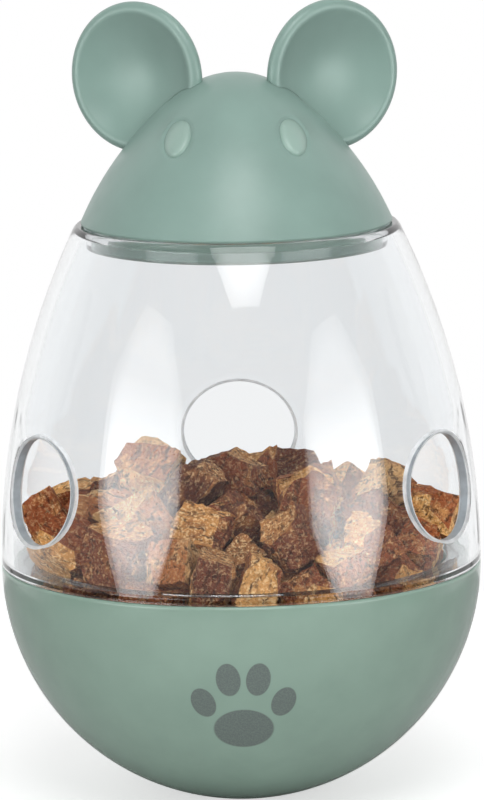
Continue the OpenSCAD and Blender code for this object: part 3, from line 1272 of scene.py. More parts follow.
@dataclass
class Lid:
    """The mouse-head lid: a domed shell with two dished ears, two set-in eyes and a plug for the neck."""

    edge_z: float
    height: float
    tip_r: float = 14.5 * MM
    flank_r: float = 54 * MM
    slant: tuple[float, float] = (0.6, 0.8)
    wall: float = 2.2 * MM
    edge: float = 0.5 * MM
    hairline: float = 0.02 * MM
    plug_r: float = 23.9 * MM
    plug_wall: float = 1.8 * MM
    plug_depth: float = 3.6 * MM
    plug_edge: float = 0.4 * MM
    plug_segments: int = 192
    plate_t: float = 2.2 * MM
    dish_r: float = 17.5 * MM
    ear_wall: float = 2.5 * MM
    ear_x: float = 16.2 * MM
    ear_y: float = 4 * MM
    ear_z: float = 24 * MM
    ear_turn: float = 31.0
    ear_gap: float = 0.05 * MM
    ear_steps: int = 28
    ear_rim_steps: int = 18
    ear_segments: int = 160
    eye_x: float = 9.4 * MM
    eye_z: float = 15.5 * MM
    eye_half_w: float = 1.85 * MM
    eye_half_l: float = 2.95 * MM
    eye_lean: float = 31.0
    eye_groove: float = 0.5 * MM
    eye_depth: float = 0.95 * MM
    eye_block_turn: float = 15.2
    eye_block_h: float = 5.0 * MM
    eye_points: int = 72
    inner_steps: int = 24
    outer_steps: int = 44
    segments: int = 240

    @classmethod
    def from_frame(cls) -> Lid:
        """Reads the head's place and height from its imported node."""
        low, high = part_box("head_shell")
        return cls(edge_z=low.z, height=high.z - low.z)

    @property
    def tip_z(self) -> float:
        """Height of the tip circle's centre above the lid's edge."""
        return self.height - self.tip_r

    @property
    def flank_c(self) -> tuple[float, float]:
        """Centre of the flank's circle, from the axis and from the lid's edge."""
        reach = self.flank_r - self.tip_r
        return -reach * self.slant[0], self.tip_z - reach * self.slant[1]

    def skin(self, above: float, depth: float = 0.0) -> float:
        """Radius of the head.

        Args:
            above: Height above the lid's edge.
            depth: Depth below the outer skin.

        Returns:
            The radius.
        """
        if above > self.tip_z + (self.tip_r - depth) * self.slant[1]:
            return math.sqrt(max(0.0, (self.tip_r - depth) ** 2 - (above - self.tip_z) ** 2))
        x, z = self.flank_c
        return x + math.sqrt((self.flank_r - depth) ** 2 - (above - z) ** 2)

    def profile(self, depth: float, low: float, steps: int) -> Outline:
        """The head's outline from low down up to the axis.

        Args:
            depth: Depth below the outer skin.
            low: Height of its lower end above the lid's edge.
            steps: Number of stretches on the flank.

        Returns:
            The outline, in the row frame's heights.
        """
        x, z = self.flank_c
        touch = math.degrees(math.atan2(self.slant[1], self.slant[0]))
        start = math.degrees(math.asin((low - z) / (self.flank_r - depth)))
        flank = arc((x, self.edge_z + z), self.flank_r - depth, start, touch, steps)
        tip = arc((0.0, self.edge_z + self.tip_z), self.tip_r - depth, touch, 90, steps // 2)
        return [*flank, *tip[1:-1], (0.0, self.edge_z + self.height - depth)]

    def shell_outline(self) -> Outline:
        """Goes from the inner tip down, round the lower edge and up the outside.

        Returns:
            The lathe's outline.
        """
        edge = self.edge
        inner = self.profile(self.wall, self.hairline, self.inner_steps)
        outer = self.profile(0.0, edge, self.outer_steps)
        corner = (self.skin(edge) - edge, self.edge_z + edge)
        return [
            *reversed(inner),
            (inner[0][0], self.edge_z),
            *arc(corner, edge, 270, 340, 5),
            *outer,
        ]

    def eye_window(self, side: Side) -> Window:
        """Lays out the pocket that an eye sits in.

        Args:
            side: The eye's side.

        Returns:
            The window to cut.
        """
        groove, depth = self.eye_groove, self.eye_depth
        path = [
            (groove + 0.90 * MM, 0.0),
            (groove + 0.35 * MM, 0.0),
            (groove + 0.15 * MM, 0.03 * MM),
            (groove * 0.9, 0.09 * MM),
            (groove * 0.6, 0.17 * MM),
            (groove * 0.25, 0.24 * MM),
            (self.hairline, 0.27 * MM),
            (self.hairline, depth + 0.04 * MM),
        ]
        heading = math.degrees(math.asin(self.eye_x / self.skin(self.eye_z)))

        def in_block(point: Vector) -> bool:
            """Tells whether a face gives way to the eye.

            Args:
                point: The face's centre.

            Returns:
                True if it does.
            """
            above = point.z - self.edge_z
            turn = math.degrees(math.atan2(side.value * point.x, -point.y))
            beside = abs(turn - heading) < self.eye_block_turn
            level = abs(above - self.eye_z) < self.eye_block_h
            return beside and level and math.hypot(point.x, point.y) > self.skin(above, self.wall / 2)

        return Window(
            in_block=in_block,
            on_front=lambda point: True,
            turn_of=lambda point: self.eye_turn(side, point),
            loops=[self.eye_loop(side, grow, low) for grow, low in path],
        )

    def eye_turn(self, side: Side, point: Vector) -> float:
        """A point's angle round an eye, seen from the front.

        Args:
            side: The eye's side.
            point: The point.

        Returns:
            The angle in radians.
        """
        lean = math.radians(self.eye_lean)
        across = side.value * point.x - self.eye_x
        up = point.z - self.edge_z - self.eye_z
        u = across * math.cos(lean) + up * math.sin(lean)
        v = up * math.cos(lean) - across * math.sin(lean)
        return math.atan2(v / self.eye_half_l, u / self.eye_half_w)

    def eye_loop(self, side: Side, grow: float, depth: float) -> Loop:
        """An eye's outline, grown and sunk into the head.

        Args:
            side: The eye's side.
            grow: How far it lies outside the eye's edge.
            depth: Depth below the head's skin.

        Returns:
            The loop's point for each angle.
        """
        lean = math.radians(self.eye_lean)

        def point(at: float) -> Vector:
            """Finds the loop's point.

            Args:
                at: The angle round the eye.

            Returns:
                The point.
            """
            u = (self.eye_half_w + grow) * math.cos(at)
            v = (self.eye_half_l + grow) * math.sin(at)
            across = self.eye_x + u * math.cos(lean) - v * math.sin(lean)
            above = self.eye_z + u * math.sin(lean) + v * math.cos(lean)
            forward = math.sqrt(self.skin(above, depth) ** 2 - across ** 2)
            return Vector((side.value * across, -forward, self.edge_z + above))

        return point

    def build_head(self, finish: MouldedPlastic) -> None:
        """Models and dresses the head's shell.

        Args:
            finish: The head's plastic.
        """
        piece = lathe("head_cap", self.shell_outline(), self.segments)
        for side in Side:
            self.eye_window(side).cut(piece, through=False)
        complete(piece, finish, "lid", "head_plastic", "head_shell")

    def build_eye(self, side: Side, finish: MouldedPlastic) -> None:
        """Models and dresses one eye, a domed bead that fills its pocket.

        Args:
            side: The eye's side.
            finish: The eye's plastic.
        """
        path = [
            (0.0, self.eye_depth),
            (0.0, 0.28 * MM),
            (-0.10 * MM, 0.18 * MM),
            (-0.25 * MM, 0.04 * MM),
            (-0.42 * MM, -0.10 * MM),
            (-0.62 * MM, -0.21 * MM),
            (-0.88 * MM, -0.31 * MM),
            (-1.20 * MM, -0.37 * MM),
            (-1.60 * MM, -0.40 * MM),
        ]
        loops = [self.eye_loop(side, grow, depth) for grow, depth in path]
        clear_selection()
        bpy.ops.mesh.primitive_circle_add(vertices=self.eye_points, radius=self.eye_half_w,
                                          fill_type="NGON")
        piece = added(f"eye_bead_{side.word}")
        for i, vertex in enumerate(piece.data.vertices):
            vertex.co = loops[0](2 * math.pi * i / self.eye_points)
        with editing(piece):
            bpy.ops.mesh.select_mode(type="FACE")
            bpy.ops.mesh.select_all(action="SELECT")
            extrude_onto(piece, loops[1:], lambda point: self.eye_turn(side, point))
            turn_outwards()
        complete(piece, finish, "lid", "eye_plastic", f"eye_{side.word}")

    def build_ear(self, side: Side, finish: MouldedPlastic) -> None:
        """Models and dresses one ear, a dish with a round edge that grows out of the head.

        Args:
            side: The ear's side.
            finish: The head's plastic.
        """
        bead = self.ear_wall / 2
        reach = self.dish_r + bead
        centre = (0.0, reach * self.slant[1])
        turn = math.degrees(math.atan2(self.slant[0], self.slant[1]))
        front = arc(centre, self.dish_r, -90, turn - 90, self.ear_steps)
        rim = arc((reach * self.slant[0], 0.0), bead, turn + 90, turn - 90, self.ear_rim_steps)
        back = arc(centre, self.dish_r + self.ear_wall, turn - 90, -90, self.ear_steps)
        piece = lathe(f"ear_dish_{side.word}", [*front, *rim[1:-1], *back], self.ear_segments)
        stand = Matrix.Rotation(math.radians(90), 4, "X")
        swing = Matrix.Rotation(math.radians(side.value * self.ear_turn), 4, "Z")
        spot = Matrix.Translation((side.value * self.ear_x, self.ear_y, self.edge_z + self.ear_z))
        place(piece, spot @ swing @ stand)
        core = [(0.0, self.edge_z + MM), *self.profile(-self.ear_gap, MM, self.outer_steps)]
        combine(piece, lathe("head_core", core, self.segments), Weld.CUT)
        complete(piece, finish, "lid", "head_plastic", f"ear_{side.word}")

    def build_plug(self, finish: MouldedPlastic) -> None:
        """Models and dresses the plug under the head, a plate with a skirt.

        Args:
            finish: The plug's plastic, darkened as painted shade.
        """
        soft = self.plug_edge
        skirt_in = self.plug_r - self.plug_wall
        low = self.edge_z - self.plug_depth
        plate_r = self.skin(self.plate_t, self.wall) - self.ear_gap
        under = self.edge_z - self.hairline
        outline = [
            (0.0, under),
            *arc((skirt_in - soft, under - soft), soft, 90, 0, 4),
            *arc((skirt_in + soft, low + soft), soft, 180, 270, 4),
            *arc((self.plug_r - soft, low + soft), soft, 270, 360, 4),
            (self.plug_r, under),
            (plate_r, under),
            (plate_r, self.edge_z + self.plate_t),
            (0.0, self.edge_z + self.plate_t),
        ]
        piece = lathe("neck_plug", outline, self.plug_segments)
        complete(piece, finish, "lid", "plug_plastic", "lid_plug")

    def build(self, finishes: Finishes) -> None:
        """Builds the lid's pieces.

        Args:
            finishes: The toy's finishes.
        """
        self.build_head(finishes.head)
        for side in Side:
            self.build_ear(side, finishes.head)
            self.build_eye(side, finishes.eye)
        self.build_plug(finishes.plug)


@dataclass
class Pile:
    """Chunks that fall into the chamber, each held as a box with eight round corners.

    Only plain sums in a fixed order are used, so the pile is the same on every run.

    Attributes:
        bowl: The bowl below the chunks.
        dome: The dome round them.
        halves: Half the length, width and height of each chunk.
        starts: Each chunk's first place and turn.
        gap: Room that stays between the chunks and the walls.
    """

    bowl: Bowl
    dome: Dome
    halves: np.ndarray
    starts: list[Matrix]
    gap: float
    corner_share: float = 0.85
    box_share: float = 1.08
    margin: float = 4 * MM
    look_again: int = 3
    rounds: int = 8
    stiffness: float = 0.8
    hit_share: float = 0.6
    pull: float = 0.22 * MM
    drag: float = 0.92
    top_speed: float = 2.5 * MM
    ease_pull: float = 0.02 * MM
    ease_drag: float = 0.5
    tiny: float = 1e-12

    def __post_init__(self) -> None:
        """Lays the chunks' round corners out at their starts."""
        round_r = self.corner_share * self.halves.min(axis=1)
        signs = np.array(list(product((-1.0, 1.0), repeat=3)))
        self.rest = signs[None] * (self.box_share * self.halves - round_r[:, None])[:, None, :]
        self.radii = np.repeat(round_r, len(signs))
        self.owner = np.repeat(np.arange(len(self.starts)), len(signs))
        self.turn = np.array([tuple(start.to_quaternion()) for start in self.starts])
        self.middle = np.array([tuple(start.translation) for start in self.starts])
        self.spots = self.corners()
        self.before = self.spots.copy()

    def axes(self) -> np.ndarray:
        """Works out each chunk's own axes.

        Returns:
            The axes, as the columns of each chunk's turn.
        """
        w, x, y, z = self.turn.T
        rows = [
            [1 - 2 * (y * y + z * z), 2 * (x * y - z * w), 2 * (x * z + y * w)],
            [2 * (x * y + z * w), 1 - 2 * (x * x + z * z), 2 * (y * z - x * w)],
            [2 * (x * z - y * w), 2 * (y * z + x * w), 1 - 2 * (x * x + y * y)],
        ]
        return np.array(rows).transpose(2, 0, 1)

    def corners(self) -> np.ndarray:
        """Works out where each chunk's round corners are, from its place and turn.

        Returns:
            The corners of each chunk.
        """
        axes = self.axes()
        spread = sum(self.rest[:, :, j, None] * axes[:, None, :, j] for j in range(3))
        return self.middle[:, None, :] + spread

    def hold_shape(self) -> None:
        """Moves and turns each chunk as a whole to where its corners have gone."""
        self.middle = self.spots.sum(axis=1) / self.spots.shape[1]
        arms = self.spots - self.middle[:, None, :]
        axes = self.axes()
        twist = np.zeros_like(self.middle)
        hold = np.zeros(len(self.middle))
        for j in range(3):
            drawn = (arms * self.rest[:, :, j, None]).sum(axis=1)
            twist += np.cross(axes[:, :, j], drawn)
            hold += (axes[:, :, j] * drawn).sum(axis=1)
        half = 0.5 * twist / (np.abs(hold) + self.tiny)[:, None]
        w, v = self.turn[:, :1], self.turn[:, 1:]
        turned = np.hstack([w - (half * v).sum(axis=1)[:, None], v + w * half + np.cross(half, v)])
        self.turn = turned / np.sqrt((turned * turned).sum(axis=1))[:, None]
        self.spots = self.corners()

    def neighbours(self) -> tuple[np.ndarray, np.ndarray]:
        """Finds the corners of different chunks that may soon touch.

        Returns:
            The first and the second corner of each pair.
        """
        flat = self.spots.reshape(-1, 3)
        away = flat[:, None, :] - flat[None, :, :]
        reach = self.radii[:, None] + self.radii[None, :] + self.margin
        near = (away * away).sum(axis=2) < reach * reach
        near &= self.owner[:, None] < self.owner[None, :]
        return np.nonzero(near)

    def part(self, first: np.ndarray, second: np.ndarray) -> None:
        """Pushes corners apart that overlap.

        Args:
            first: The first corner of each pair.
            second: The second corner of each pair.
        """
        flat = self.spots.reshape(-1, 3)
        away = flat[first] - flat[second]
        length = np.sqrt((away * away).sum(axis=1)) + self.tiny
        overlap = self.radii[first] + self.radii[second] - length
        touch = overlap > 0
        push = self.stiffness * (overlap / length)[touch, None] * away[touch]
        shift = np.zeros_like(flat)
        hits = np.zeros(len(flat))
        for ends, sign in ((first[touch], 1), (second[touch], -1)):
            np.add.at(shift, ends, sign * push)
            np.add.at(hits, ends, self.hit_share)
        self.spots = (flat + shift / np.maximum(hits, 1)[:, None]).reshape(self.spots.shape)

    def keep_inside(self) -> None:
        """Keeps the corners above the floor and inside the bowl, the dome and a flue above it."""
        bowl, dome = self.bowl, self.dome
        flat = self.spots.reshape(-1, 3)
        room = self.radii + self.gap
        wide = np.sqrt(flat[:, 0] ** 2 + flat[:, 1] ** 2) + self.tiny
        r, z = wide, np.maximum(flat[:, 2], bowl.floor_z + room)
        length = np.sqrt(r * r + (z - bowl.rim_z) ** 2)
        share = np.where(z < bowl.rim_z, np.minimum(1, (bowl.inner_r - room) / length), 1)
        r, z = r * share, bowl.rim_z + (z - bowl.rim_z) * share
        ledge_r, ledge_z = dome.spigot_r - dome.wall, dome.base_z + dome.ledge_h
        r = np.where(z <= ledge_z, np.minimum(r, ledge_r - room), r)
        z = np.where((z > ledge_z) & (r > ledge_r), np.maximum(z, ledge_z + room), z)
        length = np.sqrt((r - ledge_r) ** 2 + (z - ledge_z) ** 2) + self.tiny
        share = np.where((z > ledge_z) & (r <= ledge_r), np.maximum(1, room / length), 1)
        r, z = ledge_r + (r - ledge_r) * share, ledge_z + (z - ledge_z) * share
        roof = dome.height - dome.rim_t
        reach = dome.radius + dome.arc_x - dome.wall - room
        length = np.sqrt((r + dome.arc_x) ** 2 + (z - dome.base_z) ** 2)
        under = (z > dome.base_z) & (z < dome.base_z + roof)
        share = np.where(under, np.minimum(1, reach / length), 1)
        r, z = (r + dome.arc_x) * share - dome.arc_x, dome.base_z + (z - dome.base_z) * share
        above = z > dome.base_z + roof
        r = np.where(above, np.minimum(r, dome.skin(roof, dome.wall) - room), r)
        moved = np.stack([flat[:, 0] * r / wide, flat[:, 1] * r / wide, z], axis=1)
        self.spots = moved.reshape(self.spots.shape)

    def settle(self, steps: int, easing: int) -> list[Matrix]:
        """Lets the chunks fall, and then ease apart where they overlap.

        Args:
            steps: Number of steps of the fall.
            easing: Number of steps of the easing.

        Returns:
            Where each chunk comes to rest.
        """
        pairs = self.neighbours()
        for step in range(steps + easing):
            pull, drag = (self.pull, self.drag) if step < steps else (self.ease_pull, self.ease_drag)
            if step % self.look_again == 0:
                pairs = self.neighbours()
            speed = (self.spots - self.before) * drag
            length = np.sqrt((speed * speed).sum(axis=2)) + self.tiny
            self.before = self.spots.copy()
            self.spots = self.spots + speed * np.minimum(1, self.top_speed / length)[:, :, None]
            self.spots[:, :, 2] -= pull
            for _ in range(self.rounds):
                self.part(*pairs)
                self.keep_inside()
                self.hold_shape()
        turns = [Quaternion(turn).to_matrix().to_4x4() for turn in self.turn.tolist()]
        return [Matrix.Translation(spot) @ turn for spot, turn in zip(self.middle.tolist(), turns)]


@dataclass
class TreatFill:
    """The loose chunks in the chamber, dropped in and left to settle before they are kept still.

    They are carved at a hundred times their size, which suits the mesh operators.
    """

    bowl: Bowl
    dome: Dome
    count: int = 156
    shape_count: int = 12
    size: float = 8.9 * MM
    clearance: float = 0.5 * MM
    least_gap: float = 0.15 * MM
    size_range: tuple[float, float] = (0.86, 1.16)
    shares: tuple[tuple[float, float], ...] = ((1.0, 1.25), (0.8, 1.0), (0.68, 0.92))
    breaks: int = 7
    break_range: tuple[float, float] = (0.43, 0.56)
    break_merge: float = 0.02
    bared_share: float = 0.5
    face_cuts: int = 4
    crease: float = 34.0
    layers: tuple[tuple[Roughness, float, float], ...] = (
        (Roughness.LUMPS, 0.45, 0.16),
        (Roughness.FIBRES, 0.22, 0.05),
        (Roughness.LUMPS, 0.12, 0.05),
    )
    first_mm: int = 9
    layer_mm: int = 12
    rings: tuple[tuple[float, int], ...] = ((16 * MM, 7), (0.0, 1))
    stray: float = 0.08
    steps: int = 180
    easing: int = 90
    nudges: int = 4
    seed: int = 15
    magnify: float = 100.0

    def carve(self, number: int, draw: random.Random) -> tuple[bpy.types.Object, Vector]:
        """Carves one chunk: a broken block with a rough skin.

        Args:
            number: The chunk's number.
            draw: The source of its chances.

        Returns:
            The chunk, at the magnified size, and half the real size of its block.
        """
        size = self.size * self.magnify * draw.uniform(*self.size_range)
        clear_selection()
        bpy.ops.mesh.primitive_cube_add(size=size)
        chunk = added(f"chunk_{number}")
        chunk.scale = [draw.uniform(*share) for share in self.shares]
        bpy.ops.object.transform_apply(scale=True)
        with editing(chunk):
            for _ in range(self.breaks):
                way = Vector([draw.uniform(-1, 1) for _ in range(3)]).normalized()
                spot = way * size * draw.uniform(*self.break_range)
                bpy.ops.mesh.select_all(action="SELECT")
                bpy.ops.mesh.bisect(plane_co=spot, plane_no=way, use_fill=True, clear_outer=True)
            bpy.ops.mesh.select_all(action="SELECT")
            bpy.ops.mesh.remove_doubles(threshold=self.break_merge)
        points = [vertex.co for vertex in chunk.data.vertices]
        low = Vector([min(point[i] for point in points) for i in range(3)])
        high = Vector([max(point[i] for point in points) for i in range(3)])
        place(chunk, Matrix.Translation((low + high) / -2))
        faces = chunk.data.attributes.new("break", "FLOAT", "FACE")
        for value in faces.data:
            value.value = float(draw.random() < self.bared_share)
        with editing(chunk):
            bpy.ops.mesh.select_all(action="SELECT")
            bpy.ops.mesh.quads_convert_to_tris(quad_method="BEAUTY", ngon_method="BEAUTY")
            bpy.ops.mesh.subdivide(number_cuts=self.face_cuts)
        for kind, grain, strength in self.layers:
            self.roughen(chunk, kind, grain, strength)
        apply_modifiers(chunk)
        pick(chunk)
        bpy.ops.object.shade_smooth_by_angle(angle=math.radians(self.crease))
        return chunk, (high - low) / (2 * self.magnify)

    @staticmethod
    def roughen(chunk: bpy.types.Object, kind: Roughness, grain: float, strength: float) -> None:
        """Adds one layer of roughness to a chunk.

        Args:
            chunk: The chunk.
            kind: The pattern.
            grain: Size of its pattern.
            strength: Depth of its pattern.
        """
        pattern = bpy.data.textures.new("roughness", kind.value)
        pattern.noise_scale = grain
        if kind is Roughness.FIBRES:
            pattern.wood_type = "BANDNOISE"
            pattern.turbulence = 6.0
        layer = chunk.modifiers.new("roughness", "DISPLACE")
        layer.texture = pattern
        layer.texture_coords = "LOCAL"
        layer.mid_level = 0.55
        layer.strength = strength

    def starts(self, draw: random.Random) -> list[Matrix]:
        """Places the chunks in loose layers above the floor.

        Args:
            draw: The source of the chances.

        Returns:
            A place and a turn for each chunk.
        """
        spots: list[Matrix] = []
        level = 0
        while len(spots) < self.count:
            z = self.bowl.floor_z + (self.first_mm + level * self.layer_mm) * MM
            for radius, number in self.rings:
                for i in range(number):
                    even = 2 * math.pi * (i + 0.5 * (level % 2)) / number
                    at = even + draw.uniform(-self.stray, self.stray)
                    spot = Vector((radius * math.cos(at), radius * math.sin(at), z))
                    axis = Vector((draw.uniform(-1, 1), draw.uniform(-1, 1), draw.uniform(0.1, 1)))
                    turn = Matrix.Rotation(draw.uniform(0, 2 * math.pi), 4, axis)
                    spots.append(Matrix.Translation(spot) @ turn)
            level += 1
        return spots[:self.count]

    def inner_r(self, height: float) -> float:
        """Works out the chamber's radius, less a little room.

        Args:
            height: The height in the row frame.

        Returns:
            The radius at that height.
        """
        bowl, dome = self.bowl, self.dome
        spigot = dome.spigot_r - dome.wall
        if height > dome.base_z + dome.ledge_h:
            return dome.skin(height - dome.base_z, dome.wall) - self.least_gap
        if height > dome.low_z:
            return spigot - self.least_gap
        return min(bowl.inside(height), spigot) - self.least_gap

    def nudge(self, chunk: bpy.types.Object, move: Matrix) -> Matrix:
        """Moves a settled chunk inward and up until all of it clears the walls and the floor.

        Args:
            chunk: The chunk, at the magnified size.
            move: Its place and turn, with the scale to its real size.

        Returns:
            The mended place.
        """
        for _ in range(self.nudges):
            points = [move @ vertex.co for vertex in chunk.data.vertices]
            rise = max(0.0, self.bowl.floor_z + self.least_gap - min(point.z for point in points))
            over, worst = max(((point.xy.length - self.inner_r(point.z), point) for point in points),
                              key=lambda pair: pair[0])
            inward = worst.xy.normalized() * -max(0.0, over)
            move = Matrix.Translation((inward.x, inward.y, rise)) @ move
        return move

    @staticmethod
    def mark(chunk: bpy.types.Object, draw: random.Random, shrink: float) -> None:
        """Writes a chunk's grain and tone into its mesh, for its material.

        Args:
            chunk: The chunk, still at its own origin.
            draw: The source of the chances.
            shrink: The factor from the chunk's size to the real one.
        """
        shift = Vector([draw.uniform(0, 1) for _ in range(3)])
        grain = chunk.data.attributes.new("grain", "FLOAT_VECTOR", "POINT")
        for vertex, value in zip(chunk.data.vertices, grain.data):
            value.vector = vertex.co * shrink + shift
        tone = chunk.data.attributes.new("tone", "FLOAT", "POINT")
        shade = draw.random()
        for value in tone.data:
            value.value = shade

    def build(self, finish: DriedMeat) -> None:
        """Carves, drops and dresses the treats, all as one piece.

        Args:
            finish: The treats' finish.
        """
        draw = random.Random(self.seed)
        shapes = [self.carve(i, draw) for i in range(self.shape_count)]
        halves = np.array([tuple(shapes[i % self.shape_count][1]) for i in range(self.count)])
        pile = Pile(self.bowl, self.dome, halves, self.starts(draw), self.clearance)
        rest = pile.settle(self.steps, self.easing)
        kept = []
        shrink = 1 / self.magnify
        for i, move in enumerate(rest):
            chunk = shapes[i % self.shape_count][0].copy()
            chunk.data = chunk.data.copy()
            self.mark(chunk, draw, shrink)
            chunk.matrix_world = self.nudge(chunk, move @ Matrix.Scale(shrink, 4))
            bpy.context.scene.collection.objects.link(chunk)
            kept.append(chunk)
        for chunk, _ in shapes:
            bpy.data.objects.remove(chunk)
        clear_selection()
        for chunk in kept:
            chunk.select_set(True)
        piece = kept[0]
        bpy.context.view_layer.objects.active = piece
        bpy.ops.object.join()
        piece.name = "treats"
        piece.data.name = "treats"
        bpy.ops.object.transform_apply(location=True, rotation=True, scale=True)
        dress(piece, finish.material())
        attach(piece, "bowl")
        log.info("treats: %d chunks, %d faces, ride on bowl", len(rest), len(piece.data.polygons))


@dataclass(frozen=True)
class Softbox:
    """An eight-sided softbox, dimmer towards its rim.

    Attributes:
        name: Its name.
        heading: Direction from the toy in degrees, to the right of the camera.
        lift: Height of its middle above the floor.
        away: Distance from the toy's axis.
        radius: Its radius.
        radiance: Brightness of its lower and its upper end, where white is 1.
        lights: True if it lights matt surfaces, False if it only shows in glossy and clear ones.
        slope: Where the brightness starts and stops to change, in radii from the middle.
        rim: Where the rim starts and ends, in radii.
        rim_level: Share of the brightness at the rim's end.
        sides: Number of its sides.
    """

    name: str
    heading: float
    lift: float
    away: float
    radius: float
    radiance: tuple[float, float]
    lights: bool = False
    slope: tuple[float, float] = (-0.35, 0.45)
    rim: tuple[float, float] = (0.72, 0.98)
    rim_level: float = 0.45
    sides: int = 8

    def hang(self, spot: Matrix) -> None:
        """Hangs the softbox.

        Args:
            spot: Where it hangs, with its -Z towards the toy.
        """
        clear_selection()
        bpy.ops.mesh.primitive_circle_add(vertices=self.sides, radius=self.radius, fill_type="NGON",
                                          rotation=(0, 0, math.pi / self.sides))
        box = added(self.name)
        bpy.ops.object.transform_apply(rotation=True)
        box.matrix_world = spot
        desk = NodeDesk(self.name)
        split = desk.add("ShaderNodeSeparateXYZ")
        desk.link(desk.place, split.inputs[0])
        slope = [share * self.radius for share in self.slope]
        level = desk.span(split.outputs["Y"], *self.radiance, *slope)
        length = desk.add("ShaderNodeVectorMath", operation="LENGTH")
        desk.link(desk.place, length.inputs[0])
        rim = [share * self.radius for share in self.rim]
        edge = desk.span(length.outputs["Value"], 1.0, self.rim_level, *rim)
        glow = desk.add("ShaderNodeEmission")
        desk.link(desk.math("MULTIPLY", level, edge), glow.inputs["Strength"])
        desk.link(glow.outputs[0], desk.output.inputs["Surface"])
        dress(box, desk.material)
        box.visible_camera = False
        box.visible_diffuse = self.lights
        box.visible_shadow = False


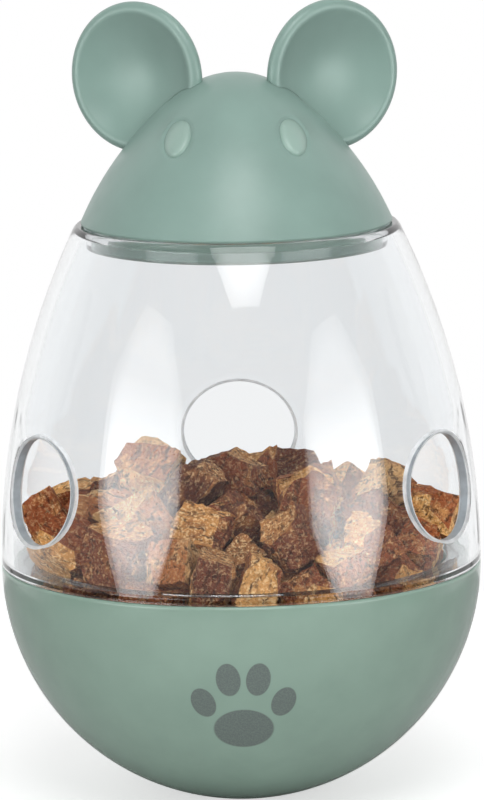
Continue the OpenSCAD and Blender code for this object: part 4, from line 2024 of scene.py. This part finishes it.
@dataclass
class Studio:
    """The camera, the lamps, the white surround and the floor."""

    eye: tuple[float, float, float] = (-0.00095, -0.9210, 0.22293)
    pitch: float = 9.66
    yaw: float = -0.089
    roll: float = -0.80
    lens: float = 252.64
    sensor: float = 36.0
    nearest: float = 0.01
    look_z: float = 0.1
    softboxes: tuple[Softbox, ...] = (
        Softbox("softbox_left", -50.5, 0.17, 0.655, 0.275, (5.7, 1.6)),
        Softbox("softbox_right", 53.5, 0.15, 0.652, 0.265, (5.7, 1.6)),
        Softbox("softbox_top", 5.0, 0.68, 0.47, 0.27, (3.6, 6.0), lights=True),
    )
    lamp_lift: float = 0.10
    lamp_away: float = 0.85
    lamp_size: float = 0.5
    lamp_radiance: float = 3.8
    fill: float = 0.42
    room: float = 0.04
    room_inside: float = 0.65
    backdrop_from: float = 0.45
    floor_size: float = 0.32
    floor_drop: float = 0.02 * MM
    floor_greys: tuple[float, float] = (0.70, 0.72)
    floor_cloud: float = 0.4
    floor_glow: float = 0.6
    floor_glow_inside: float = 0.2

    def camera(self) -> None:
        """Puts the camera where the photograph was taken from."""
        data = bpy.data.cameras.new("camera")
        data.lens = self.lens
        data.sensor_width = self.sensor
        data.clip_start = self.nearest
        camera = bpy.data.objects.new("camera", data)
        turn = (Matrix.Rotation(math.radians(self.yaw), 4, "Z")
                @ Matrix.Rotation(math.radians(90 - self.pitch), 4, "X")
                @ Matrix.Rotation(math.radians(self.roll), 4, "Z"))
        camera.matrix_world = Matrix.Translation(self.eye) @ turn
        bpy.context.scene.collection.objects.link(camera)
        bpy.context.scene.camera = camera

    def aim(self, heading: float, lift: float, away: float) -> Matrix:
        """A place round the toy, turned to face it.

        Args:
            heading: Direction from the toy in degrees, to the right of the camera.
            lift: Height above the floor.
            away: Distance from the toy's axis.

        Returns:
            The place, with its own -Z towards the toy.
        """
        turn = math.radians(heading)
        spot = Vector((away * math.sin(turn), -away * math.cos(turn), lift))
        look = Vector((0, 0, min(lift, self.look_z))) - spot
        return Matrix.Translation(spot) @ look.to_track_quat("-Z", "Y").to_matrix().to_4x4()

    def fill_lamp(self) -> None:
        """Hangs a soft lamp at the camera, which lights matt surfaces and shows in no reflection."""
        data = bpy.data.lights.new("fill", "AREA")
        data.shape = "DISK"
        data.size = self.lamp_size
        data.energy = self.lamp_radiance * math.pi * math.pi * (self.lamp_size / 2) ** 2
        lamp = bpy.data.objects.new("fill", data)
        lamp.matrix_world = self.aim(0.0, self.lamp_lift, self.lamp_away)
        lamp.visible_glossy = False
        lamp.visible_transmission = False
        bpy.context.scene.collection.objects.link(lamp)

    def surround(self) -> None:
        """Makes the world white to look at, a backdrop behind the toy and a dimmer room before it."""
        world = bpy.data.worlds.new("surround")
        bpy.context.scene.world = world
        world.use_nodes = True
        tree = world.node_tree
        path = tree.nodes.new("ShaderNodeLightPath")
        split = tree.nodes.new("ShaderNodeSeparateXYZ")
        tree.links.new(tree.nodes.new("ShaderNodeTexCoord").outputs["Generated"], split.inputs[0])
        level = tree.nodes.new("ShaderNodeMapRange")
        for socket, value in (("From Min", 0.0), ("From Max", self.backdrop_from), ("To Max", 1.0)):
            level.inputs[socket].default_value = value
        tree.links.new(split.outputs["Y"], level.inputs["Value"])
        front = tree.nodes.new("ShaderNodeMix")
        tree.links.new(path.outputs["Is Transmission Ray"], front.inputs[0])
        front.inputs[2].default_value = self.room
        front.inputs[3].default_value = self.room_inside
        tree.links.new(front.outputs[0], level.inputs["To Min"])
        strength = level.outputs["Result"]
        for ray, value in (("Is Diffuse Ray", self.fill), ("Is Camera Ray", 1.0)):
            choice = tree.nodes.new("ShaderNodeMix")
            tree.links.new(path.outputs[ray], choice.inputs[0])
            tree.links.new(strength, choice.inputs[2])
            choice.inputs[3].default_value = value
            strength = choice.outputs[0]
        background = tree.nodes["Background"]
        background.inputs["Color"].default_value = (1.0, 1.0, 1.0, 1.0)
        tree.links.new(strength, background.inputs["Strength"])

    def floor(self) -> None:
        """Lays the pale floor, which looks white and keeps the toy's shadow."""
        clear_selection()
        bpy.ops.mesh.primitive_plane_add(size=self.floor_size, location=(0, 0, -self.floor_drop))
        floor = added("pale_floor")
        desk = NodeDesk("pale_floor")
        darker, paler = ((grey, grey, grey) for grey in self.floor_greys)
        desk.plug("Base Color", desk.ramp(desk.noise(self.floor_cloud), [(0.3, darker), (0.7, paler)]))
        desk.plug("Roughness", 0.9)
        desk.plug("Specular IOR Level", 0.0)
        desk.plug("Emission Color", (1.0, 1.0, 1.0))
        path = desk.add("ShaderNodeLightPath")
        through = desk.math("MULTIPLY", path.outputs["Is Transmission Ray"], self.floor_glow_inside)
        glow = desk.math("MULTIPLY_ADD", path.outputs["Is Camera Ray"], self.floor_glow, through)
        desk.plug("Emission Strength", glow)
        dress(floor, desk.material)

    def build(self) -> None:
        """Sets up the whole studio."""
        bpy.context.scene.view_settings.view_transform = "Standard"
        self.camera()
        for softbox in self.softboxes:
            softbox.hang(self.aim(softbox.heading, softbox.lift, softbox.away))
        self.fill_lamp()
        self.surround()
        self.floor()


def dress_nodes(nodes: dict[str, bpy.types.Object], finishes: Finishes) -> None:
    """Gives the CAD nodes that stay in view their finishes.

    Args:
        nodes: The CAD nodes by name.
        finishes: The toy's finishes.
    """
    steel = finishes.screws.material()
    kept = {
        "counterweight": finishes.weight.material(),
        "treat_floor": finishes.floor.material(),
        "floor_screws": steel,
        "lid_screws": steel,
    }
    for name, material in kept.items():
        dress(nodes[name], material)
        log.info("%s: the CAD node, as packed", name)


def main() -> None:
    """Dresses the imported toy."""
    logging.basicConfig(level=logging.INFO, format="%(name)s: %(message)s", stream=sys.stdout)
    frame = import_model()
    finishes = Finishes()
    Studio().build()
    bowl = Bowl.from_frame()
    dome = Dome.from_frame(bowl)
    bowl.build(finishes.bowl)
    dome.build(finishes, bowl)
    Lid.from_frame().build(finishes)
    TreatFill(bowl, dome).build(finishes.treats)
    dress_nodes(frame["nodes"], finishes)


if __name__ == "__main__":
    main()
